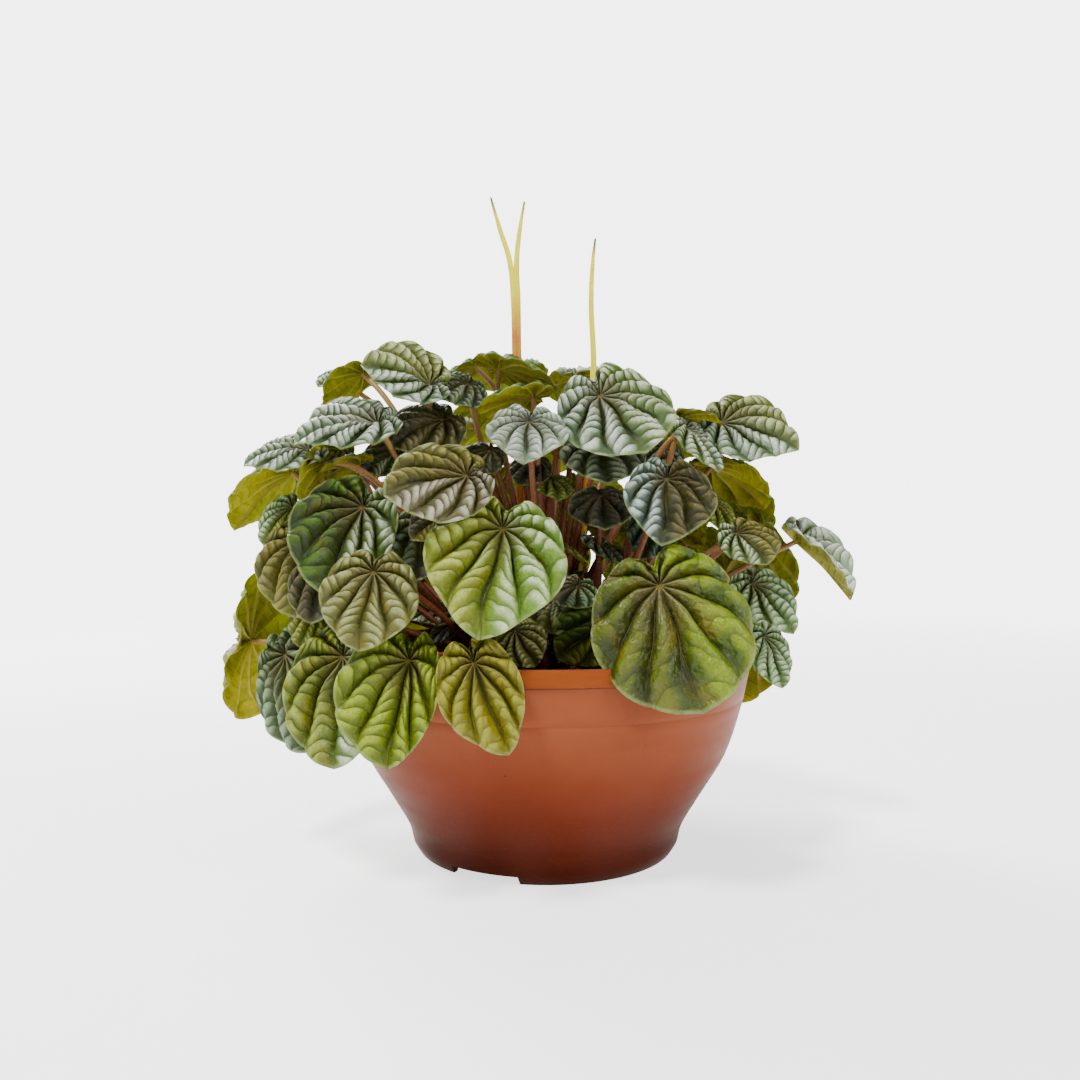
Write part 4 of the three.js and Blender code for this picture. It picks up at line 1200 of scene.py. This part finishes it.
def leaf_points(leaf, blank, wobble):
    around, out, phase = blank["around"], blank["out"], leaf["phase"]
    wave = ripple(around, out, pillow_numbers(around, out, leaf) + wobble, leaf)
    wave += MARGIN_WAVE * out ** 3 * np.sin(MARGIN_WAVES * around + phase)
    wander = VEIN_WANDER * np.sin(math.pi * out) * np.sin(6 * out + 2.3 * around + phase)
    scallops = SCALLOP_DEPTH * out ** EDGE_ONLY * (np.abs(np.sin(VEINS * around / 2)) - 1)
    reach = out * (1 + MARGIN_BULGE * blank["on_margin"]) + scallops
    if leaf["name"] == TORN_LEAF:
        tear = TEAR_DEPTH * out ** EDGE_ONLY * np.exp(-((around - TEAR_ANGLE) / TEAR_ANGLE_WIDTH) ** 2)
        reach = reach - tear
    half = BLADE_THICKNESS / 2 / leaf_scale(leaf)
    return np.clip(blade_places(leaf, around + wander, reach, blank["side"] * half + wave), BOX_LOW, BOX_HIGH)


# %% Paint a leaf's points
FADE_WIDTH, FADE_WANDER, FADE_WAVES = 0.22, 0.12, 9
YELLOW_WAVES, YELLOW_STARTS, YELLOW_FULL = 6.5, 0.5, 0.95


def paint_leaf(mesh, leaf, flat, side):
    phase, looks = leaf["phase"], leaf["looks"]
    middle_line = -flat[:, 1] + FADE_WANDER * (soft_patches(flat, FADE_WAVES, phase) - 0.5)
    right_share = smooth_step(-FADE_WIDTH, FADE_WIDTH, middle_line)[:, None]
    left_yellow, right_yellow = (YELLOWING.get(look, 0) for look in looks)
    yellow_share = smooth_step(YELLOW_STARTS, YELLOW_FULL, soft_patches(flat, YELLOW_WAVES, phase + 1))
    yellow_share = yellow_share[:, None] * (left_yellow + right_share * (right_yellow - left_yellow))
    for layer, paint_name in enumerate(("groove_paint", "flesh_paint", "ridge_paint")):
        left, right = (PAINTS[look][layer] for look in looks)
        colours = left + right_share * (right - left)
        if paint_name == "flesh_paint":
            colours = colours + yellow_share * (YELLOW_PAINT - colours)
        paint = mesh.color_attributes.new(name=paint_name, type="FLOAT_COLOR", domain="POINT")
        paint.data.foreach_set("color", colours.ravel())
    face = mesh.attributes.new(name="upper_side", type="FLOAT", domain="POINT")
    face.data.foreach_set("value", (side + 1) / 2)


# %% Shape a leaf
def add_map(mesh, name, first, second):
    mesh.uv_layers.new(name=name).data.foreach_set("uv", np.column_stack((first, second)).ravel())


def shape_leaf(leaf, blank):
    draw_ribs(leaf)
    around, out = blank["around"], blank["out"]
    flat = np.column_stack((out * np.cos(around), out * np.sin(around)))
    wobble = WOBBLE * (soft_patches(flat, WOBBLE_WAVES, leaf["phase"]) - 0.5) * smooth_step(0.1, 0.4, out)
    piece = blank["piece"].copy()
    piece.data = blank["piece"].data.copy()
    piece.name = leaf["name"]
    bpy.context.collection.objects.link(piece)
    piece.data.vertices.foreach_set("co", (leaf_points(leaf, blank, wobble) * MM).ravel())
    number = rib_places(blank["corner_around"])[0]
    pillow = pillow_numbers(blank["corner_around"], blank["corner_out"], leaf) + wobble[blank["corners"]]
    add_map(piece.data, "veins", number, blank["corner_out"])
    add_map(piece.data, "pillows", pillow, np.full(len(number), leaf["strength"]))
    paint_leaf(piece.data, leaf, flat, blank["side"])
    piece.data.update()
    return piece


# %% [markdown]
# The leaf's skin
#
# The material reads the maps and draws what is too fine for the mesh: the vein lines, the side veins,
# the pale margin, the yellowish spot at the joint and a fine cellular grain. The grooves, the side-vein
# creases, the low inner side of each rib and the part near the joint are painted darker, as painted
# shade, and the crests of the pillows get a painted highlight. The underside is olive and yellow, partly
# its own colour and partly painted light shining through, with raised veins. Leaves with weak pillows
# are the smooth, a little waxy ones, and those with strong pillows are the silvery ones, so the strength
# also says how wide the grooves and ridges are painted.

# %% Leaf material: veins and pillows
NARROWEST = 0.14
CREST_LEAN, CREST_ROUNDNESS = 0.4, 0.7
PLAIN_GROOVE, SMOOTH_GROOVE, SILVER_GROOVE = 0.13, 0.1, 0.22
VEIN_DRIFT_SCALE, VEIN_DRIFT = 60, 0.1
PILLOW_DRIFT_SCALE, PILLOW_DRIFT = 75, 0.28

leaf_material, shader, place = new_material("rippled leaf")
leaf_tree = tree_of(place)


def read_map(name):
    """The two numbers that a map on the leaf holds."""
    return parts_of(Value(add_node(leaf_tree, "ShaderNodeUVMap", {}, uv_map=name)["UV"]))[:2]


def painted(name, output="Color"):
    return Value(add_node(leaf_tree, "ShaderNodeAttribute", {}, attribute_name=name)[output])


def drift(scale, most):
    """A slow wander from minus the most to the most."""
    return add_range(add_noise(place, scale, 1), 0.25, 0.75, -most, most)


def from_middle(value):
    """What a value is over a whole number, and how near it is to the half, from 0 to 1."""
    part = add_math("FRACT", value)
    return part, 1 - abs(part * 2 - 1)


vein, reach = read_map("veins")
pillow, strength = read_map("pillows")
across, beside = from_middle(abs(vein) + drift(VEIN_DRIFT_SCALE, VEIN_DRIFT) * reach)
along, beside_side_vein = from_middle(pillow + drift(PILLOW_DRIFT_SCALE, PILLOW_DRIFT))
silver_leaf = add_range(strength, 1.0, 1.15)
smooth_leaf = add_range(strength, 0.6, 0.9, 1.0, 0.0)

groove = blend(silver_leaf, blend(smooth_leaf, PLAIN_GROOVE, SMOOTH_GROOVE), SILVER_GROOVE)
rib = add_range(beside, 0.0, groove / (reach + NARROWEST))
crest = add_math("SINE", along ** CREST_LEAN * math.pi) ** CREST_ROUNDNESS
side_share = add_range(reach, 0.1, 0.32, 0.0, 0.62) * add_range(across, 0.5, 1.0, 1.0, 0.45) * strength
pillowed = 1 - side_share * (1 - crest)
relief = rib * pillowed
print("veins and pillows take", len(leaf_tree.nodes), "nodes")

# %% Leaf material: where the paints lie
DOME_ROUNDNESS = 0.6
CREASE_WIDTH = 0.24
HIGHLIGHT_PLACE, HIGHLIGHT_WIDTH = 0.17, 0.2
VEIN_LINE, VEIN_LINE_NARROWEST = 0.016, 0.06
MARGIN_START, MARGIN_FULL, MARGIN_SHARE = 0.965, 0.995, 0.42
PATCH_SCALE, AGE_SCALE, MOTTLE_SCALE, GRAIN_SCALE = 60, 150, 480, 950

patches, mottle = add_noise(place, PATCH_SCALE), add_noise(place, MOTTLE_SCALE)
fine = add_noise(place, GRAIN_SCALE, 4)
# Dark creases along the side veins: painted shade.
side_crease_shade = add_range(beside_side_vein, 0.0, CREASE_WIDTH, 1.0, 0.0) * side_share
leaning = across ** RIB_LEAN
dome = (leaning * (1 - leaning) * 4) ** DOME_ROUNDNESS
high = dome * pillowed

# The flesh paint covers the groove paint except in the grooves, the side-vein creases, near the joint and on
# the low inner side of each rib, where the groove paint stays as painted shade.
flesh_share = add_range(rib, 0.12, 1.0) * (1 - side_crease_shade * blend(silver_leaf, 0.6, 1.0))
flesh_share = flesh_share * add_range(reach, 0.05, 0.42, 0.6, 1.0)
flesh_share = flesh_share * add_range(high, 0.04, 0.55, blend(smooth_leaf, 0.35, 0.5), 1.0)
flesh_share = add_math("MAXIMUM", flesh_share, add_range(reach, 0.62, 1.0, 0.0, 0.75))
# Ridge paint: the silvery colour of the swellings, and a painted highlight on each pillow's crest.
ridge_and_highlight_share = add_range(high, blend(silver_leaf, 0.52, 0.36), 0.96) * add_range(patches, 0.3, 0.62, 0.6, 1.0)
crest_highlight = (add_range(abs(along - HIGHLIGHT_PLACE), 0.0, HIGHLIGHT_WIDTH, 1.0, 0.0)
              * add_range(dome, 0.25, 0.95, 0.0, blend(silver_leaf, 0.55, 0.8)))
crest_highlight = crest_highlight * blend(smooth_leaf, 1.0, 0.3)
ridge_and_highlight_share = add_math("MAXIMUM", ridge_and_highlight_share, crest_highlight) * add_range(reach, 0.05, 0.5, 0.3, 1.0)

speckled = add_range(fine, 0.42, 0.68, 0.0, add_range(relief, 0.0, 0.7, 0.1, 0.4))
aged = add_range(add_noise(place, AGE_SCALE, 4), 0.48, 0.7, 0.0, 0.24)
browned = add_range(reach, 0.1, 0.66, 0.56, 0.0) * add_range(patches, 0.3, 0.6, 0.5, 1.0)
browned = browned * add_range(rib, 0.2, 0.9)
vein_line = add_range(beside, 0.0, VEIN_LINE / (reach + VEIN_LINE_NARROWEST), 1.0, 0.0)
vein_line = vein_line * add_range(reach, 0.5, 0.95, blend(smooth_leaf, 0.5, 0.8), 0.0)
margin = add_range(reach, MARGIN_START, MARGIN_FULL) * MARGIN_SHARE
joint_spot = add_range(reach, 0.03, 0.075, 0.85, 0.0)
midrib = add_range(abs(vein), 0.0, 0.16, 0.7, 0.0)
print("with the paints' shares it has", len(leaf_tree.nodes), "nodes")

# %% Leaf material: both sides
AGED, BROWNED, VEIN_PAINT = srgb(112, 110, 34), srgb(122, 102, 70), srgb(150, 132, 78)
MARGIN_PAINT, JOINT_PAINT = srgb(176, 192, 116), srgb(176, 154, 74)
UNDER_OLIVE, UNDER_YELLOW_GLOW, UNDER_DARK = srgb(180, 164, 0), srgb(250, 236, 10), srgb(104, 100, 0)
CREASE_SHADE_PAINT, RAISED_PAINT, MIDRIB_PAINT = srgb(96, 86, 0), srgb(240, 224, 120), srgb(128, 66, 30)

is_upper = painted("upper_side", "Fac")


def by_side(under, upper):
    """A number that has one value on the underside and another on the upper side."""
    return add_range(is_upper, 0.2, 0.6, under, upper)


flesh = add_mix(add_range(mottle, 0.35, 0.7, 0.0, 0.25), painted("flesh_paint"), painted("groove_paint"))
# The upper side starts from the groove paint, which stays where the flesh share is low: painted shade.
upper = glaze(
    painted("groove_paint"), (flesh_share, flesh), (ridge_and_highlight_share, painted("ridge_paint")), (speckled, flesh),
    (aged, AGED), (browned, BROWNED), (vein_line, VEIN_PAINT), (margin, MARGIN_PAINT),
    (joint_spot, JOINT_PAINT))
# The underside's olive and yellow are partly its own colour and partly painted light shining through.
under = glaze(
    UNDER_OLIVE, (add_range(patches, 0.3, 0.7), UNDER_YELLOW_GLOW), (0.35, painted("flesh_paint")),
    (add_range(mottle, 0.4, 0.65, 0.0, 0.28), UNDER_DARK), (side_crease_shade * 0.7, CREASE_SHADE_PAINT),
    ((1 - rib) * 0.6, RAISED_PAINT), (midrib, MIDRIB_PAINT))
skin = add_mix(by_side(0.0, 1.0), under, upper)
print("with its two sides it has", len(leaf_tree.nodes), "nodes")

# %% [markdown]
# Gloss and light through the leaf
#
# The skin is satin on its swellings and dull in its grooves, and the big smooth leaves have a thin wax
# over it. A leaf is thin, so the sun behind it shows. Subsurface light would need a thick body, so a
# translucent shader is mixed in instead, with the skin's own colour turned towards a warm green.

# %% Leaf material: gloss, bumps and light
WAX = 0.12
GROOVE_ROUGHNESS, RIDGE_ROUGHNESS, WAXED_ROUGHNESS, UNDER_ROUGHNESS = 0.65, 0.46, 0.32, 0.85
LUMP_SCALE, LUMP_HEIGHT, GRAIN_HEIGHT, MOTTLE_HEIGHT = 240, 0.9, 0.16, 0.3
RIPPLE_DEPTH = 0.0022
SHINE_THROUGH, SHINE_THROUGH_UNDER = 0.24, 0.4
WARM_GREEN = srgb(190, 214, 30)


def shine_through(material, colour, share):
    """Mix a share of translucent light into a material."""
    tree = material.node_tree
    solid = Value(tree.nodes["Principled BSDF"].outputs["BSDF"])
    through = Value(add_node(tree, "ShaderNodeBsdfTranslucent", {"Color": colour})["BSDF"])
    both = add_node(tree, "ShaderNodeMixShader", {"Fac": share, 1: solid, 2: through})
    feed(tree.nodes["Material Output"].inputs["Surface"], Value(both["Shader"]))


upper_roughness = add_range(relief, 0.0, 1.0, GROOVE_ROUGHNESS,
                            blend(smooth_leaf, RIDGE_ROUGHNESS, WAXED_ROUGHNESS))
lumps = add_noise(place, LUMP_SCALE, 2) * smooth_leaf * LUMP_HEIGHT
bumps = (high + lumps + (fine * GRAIN_HEIGHT + mottle * MOTTLE_HEIGHT)) * by_side(-0.5, 1.0)
set_shader(shader, {
    "Base Color": skin, "Roughness": by_side(UNDER_ROUGHNESS, upper_roughness), "Specular IOR Level": 0.45,
    "Coat Weight": blend(smooth_leaf, 0.0, WAX) * by_side(0.0, 1.0), "Coat Roughness": 0.22,
    "Normal": add_bump(bumps, RIPPLE_DEPTH)})
shine_through(leaf_material, add_mix(0.6, skin, WARM_GREEN), by_side(SHINE_THROUGH_UNDER, SHINE_THROUGH))
print("in all it has", len(leaf_tree.nodes), "nodes")

# %% [markdown]
# The stalks
#
# A stalk leaves the stem upwards and arches over to meet its blade from below. A stack of extruded
# rings could follow that arch, but a bezier curve with a round bevel bends evenly with two points only.
# Each plantlet's stalks and its short stem are joined to one piece.

# %% Model a stalk
STALK_FOOT_RADIUS, STALK_TOP_RADIUS = 1.55, 1.15
STALK_STEPS, STALK_ROUNDNESS = 22, 3
FOOT_SPREAD, TOP_SPREAD = (0.9, 1.15), (0.95, 1.1)
FOOT_CIRCLE, FOOT_DEPTH = 8, 4
UPWARD, OUTWARD = 0.45, 0.65
FIRST_BEND_SHARE, LAST_BEND_SHARE, FROM_BEHIND = 0.35, 0.28, 0.25
FLAT_BLADE = 0.8
STEEP_ARRIVAL = (0.2, 0.2, 1)


def stalk_points(leaf, plantlet):
    start = stem_place(plantlet) - (0, 0, FOOT_DEPTH)
    to_leaf = leaf["joint"] - start
    to_leaf /= np.linalg.norm(to_leaf)
    foot = start + FOOT_CIRCLE * to_leaf * (1, 1, 0)
    span = np.linalg.norm(leaf["joint"] - foot)
    first_bend = foot + FIRST_BEND_SHARE * span * (UPWARD * np.array((0, 0, 1)) + OUTWARD * to_leaf)
    arriving = leaf["up"] + FROM_BEHIND * leaf["ahead"]
    if leaf["up"][2] > FLAT_BLADE:
        arriving = arriving * STEEP_ARRIVAL
    last_bend = leaf["joint"] - LAST_BEND_SHARE * span * arriving
    under_blade = RIB_HEIGHT / 2 * leaf_scale(leaf)
    return foot, first_bend, last_bend, leaf["joint"] - under_blade * leaf["up"]


def start_curve(radius, steps, roundness):
    """A bezier curve of two points, as thick as a radius in mm."""
    bpy.ops.curve.primitive_bezier_curve_add(location=(0, 0, 0))
    curve = bpy.context.object
    curve.data.resolution_u = steps
    curve.data.bevel_depth = radius * MM
    curve.data.bevel_resolution = roundness
    curve.data.use_fill_caps = True
    return curve, curve.data.splines[0].bezier_points


def curve_to_mesh(curve, name):
    select_only(curve)
    bpy.ops.object.convert(target="MESH")
    return new_piece(name)


def make_stalk(leaf, plantlet):
    foot, first_bend, last_bend, joint = (Vector(point) * MM for point in stalk_points(leaf, plantlet))
    curve, (start, end) = start_curve(STALK_TOP_RADIUS, STALK_STEPS, STALK_ROUNDNESS)
    for point in (start, end):
        point.handle_left_type = point.handle_right_type = "FREE"
    start.co, start.handle_right, start.handle_left = foot, first_bend, foot
    end.co, end.handle_left, end.handle_right = joint, last_bend, joint
    start.radius = STALK_FOOT_RADIUS / STALK_TOP_RADIUS * chance.uniform(*FOOT_SPREAD)
    end.radius = chance.uniform(*TOP_SPREAD)
    return curve_to_mesh(curve, leaf["name"] + "_stalk")


# %% Model the stems and all stalks
STEM_RADIUS, STEM_DEPTH = 7.3, 20
STEM_ROUND = 2
STEM_COLUMNS = 24
STALK_SHARP_DEGREES = 50


def make_stem(plantlet):
    """A short stem: a cylinder with rounded edges."""
    x, y, top = stem_place(plantlet)
    bpy.ops.mesh.primitive_cylinder_add(vertices=STEM_COLUMNS, radius=STEM_RADIUS * MM, depth=STEM_DEPTH * MM,
                                        location=(x * MM, y * MM, (top - STEM_DEPTH / 2) * MM))
    stem = bpy.context.object
    start_editing(stem)
    bpy.ops.mesh.bevel(offset=STEM_ROUND * MM, segments=3)
    stop_editing()
    apply_place(stem)
    return stem


stalk_pieces = {}
for plantlet, own in plantlets.items():
    parts = [make_stem(plantlet)] + [make_stalk(leaf, plantlet) for leaf in own + young[plantlet]]
    stalk_pieces[plantlet] = join_as(plantlet + "_stalks", parts)
    shade_smoothly(stalk_pieces[plantlet], STALK_SHARP_DEGREES)
print("stalks made for", len(stalk_pieces), "plantlets")

# %% [markdown]
# The flesh of the stalks
#
# The stalks are reddish near the soil and salmon to green near the blades, with pale dots in a finely
# grained skin. The colour could follow each curve's own length, but the distance from the soil's middle
# does it for all stalks at once, and a soft noise keeps them from changing together.

# %% Stalk material
STALKS_START = (0, 0, 0.078)
STALK_DOT_SCALE, STALK_DOT_RADIUS, STALK_DOT_SHARE = 900, 0.25, 0.4
SKIN_GRAIN_SCALE, SKIN_GRAIN_DEPTH = 800, 0.0002
stalk_material, shader, place = new_material("reddish stalk")
climb = distance_from(place, STALKS_START) + (add_noise(place, 30, 2) - 0.5) * 0.05
dots = add_specks(place, STALK_DOT_SCALE, STALK_DOT_RADIUS)
tone = glaze(
    srgb(66, 25, 14), (add_range(climb, 0.015, 0.07), srgb(134, 72, 40)),
    (add_range(climb, 0.07, 0.14), srgb(158, 122, 66)), (dots * STALK_DOT_SHARE, srgb(206, 170, 126)))
set_shader(shader, {"Base Color": tone, "Roughness": 0.42,
                    "Normal": add_bump(add_noise(place, SKIN_GRAIN_SCALE, 2), SKIN_GRAIN_DEPTH)})
print("stalk material:", len(stalk_material.node_tree.nodes), "nodes")

# %% Make every plantlet
BLADE_SHARP_DEGREES = 80
for plantlet, own in plantlets.items():
    grown = [shape_leaf(leaf, leaf_blank if leaf["name"] in front_names else tier_blank) for leaf in own]
    small = [shape_leaf(leaf, young_blank) for leaf in young[plantlet]]
    blades = join_as(plantlet + "_blades", grown + small)
    shade_smoothly(blades, BLADE_SHARP_DEGREES)
    finish_piece(blades, leaf_material, "leaf", plantlet)
    finish_piece(stalk_pieces[plantlet], stalk_material, "stalk", plantlet)
for blank in blanks:
    bpy.data.objects.remove(blank["piece"])

# %% [markdown]
# The flower spikes
#
# A spike is a thin fleshy tail, covered in tiny flowers that show as dots. It is drawn as a curve with
# a round bevel, as the stalks are, whose radius falls towards the tip. The left one forks, so it is two
# strands that lie together at the foot.

# %% Model the spikes
SPIKE_STEPS, SPIKE_ROUNDNESS = 24, 4
SPIKE_FOOT = 62
SPIKES = {
    # spike: its strands, each a list of (x, y, z, radius)
    "flower_spike_left": [
        [(-10, 12, SPIKE_FOOT, 1.5), (-11.1, 13, 120, 1.4), (-14, 4, 215, 1.2), (-14.6, 2, 244, 1.25),
         (-16.2, 2, 261, 1.3), (-20.8, 2, 276, 1.05), (-24.8, 2, 289.9, 0.45)],
        [(-8, 12, SPIKE_FOOT, 1.6), (-8.9, 13, 120, 1.5), (-12.2, 4, 215, 1.4), (-12.6, 2, 244, 1.35),
         (-13.1, 2, 261, 1.3), (-11.7, 2, 275, 1.05), (-9.6, 2, 288, 0.45)],
    ],
    "flower_spike_right": [
        [(13, -2, SPIKE_FOOT, 1.8), (16, -8, 130, 1.6), (21, -10, 211, 1.3), (20, -10, 240, 1.15),
         (20.6, -10, 256, 0.95), (21.8, -10, 267.5, 0.45)],
    ],
}


def make_strand(places):
    """One strand of a spike, along places given in mm with the radius at each."""
    curve, points = start_curve(1, SPIKE_STEPS, SPIKE_ROUNDNESS)
    points.add(len(places) - len(points))
    for point, (x, y, z, radius) in zip(points, places):
        point.co = Vector((x, y, z)) * MM
        point.radius = radius
        point.handle_left_type = point.handle_right_type = "AUTO"
    return curve_to_mesh(curve, "strand")


spikes = {name: join_as(name + "_fleshy", [make_strand(places) for places in strands])
          for name, strands in SPIKES.items()}
print({name: len(spike.data.vertices) for name, spike in spikes.items()}, "points in the spikes")

# %% [markdown]
# The flesh of the spikes
#
# A spike is orange at its foot, yellow above and grey-green at its tip, where the flowers are still
# closed. Its tiny flowers could be modelled, but they are too small to cast shadows, so specks in the
# colour and the bump show them. Light from behind comes through it as it does through a leaf.

# %% Spike material
TIP_FADE = 9
FLOWER_SCALE, FLOWER_RADIUS, FLOWER_SHARE, FLOWER_DEPTH = 1150, 0.38, 0.6, 0.0003
SPIKE_LIGHT = 0.35
SPIKE_FLESH = {
    # spike: its material, top of the orange, bottom of the yellow, bottom of the tip
    "flower_spike_left": ("orange and yellow spike", 225, 250, 280),
    "flower_spike_right": ("yellow spike", 190, 206, 258),
}


def make_spike_material(name, orange_top, yellow_bottom, tip_bottom):
    material, shader, place = new_material(name)
    height = parts_of(place)[2]
    flesh = glaze(
        srgb(238, 156, 70), (add_range(height, orange_top * MM, yellow_bottom * MM), srgb(255, 248, 14)),
        (add_range(add_noise(place, 130, 2), 0.4, 0.6, 0, 0.4), srgb(236, 232, 66)),
        (add_range(height, tip_bottom * MM, (tip_bottom + TIP_FADE) * MM), srgb(112, 118, 84)))
    flowers = add_specks(place, FLOWER_SCALE, FLOWER_RADIUS)
    dotted = add_mix(flowers * FLOWER_SHARE, flesh, srgb(246, 236, 104))
    set_shader(shader, {"Base Color": dotted, "Roughness": 0.5, "Normal": add_bump(flowers, FLOWER_DEPTH)})
    shine_through(material, flesh, SPIKE_LIGHT)
    return material


for name, spike in spikes.items():
    select_only(spike)
    bpy.ops.object.shade_smooth()
    finish_piece(spike, make_spike_material(*SPIKE_FLESH[name]), "spike", name)
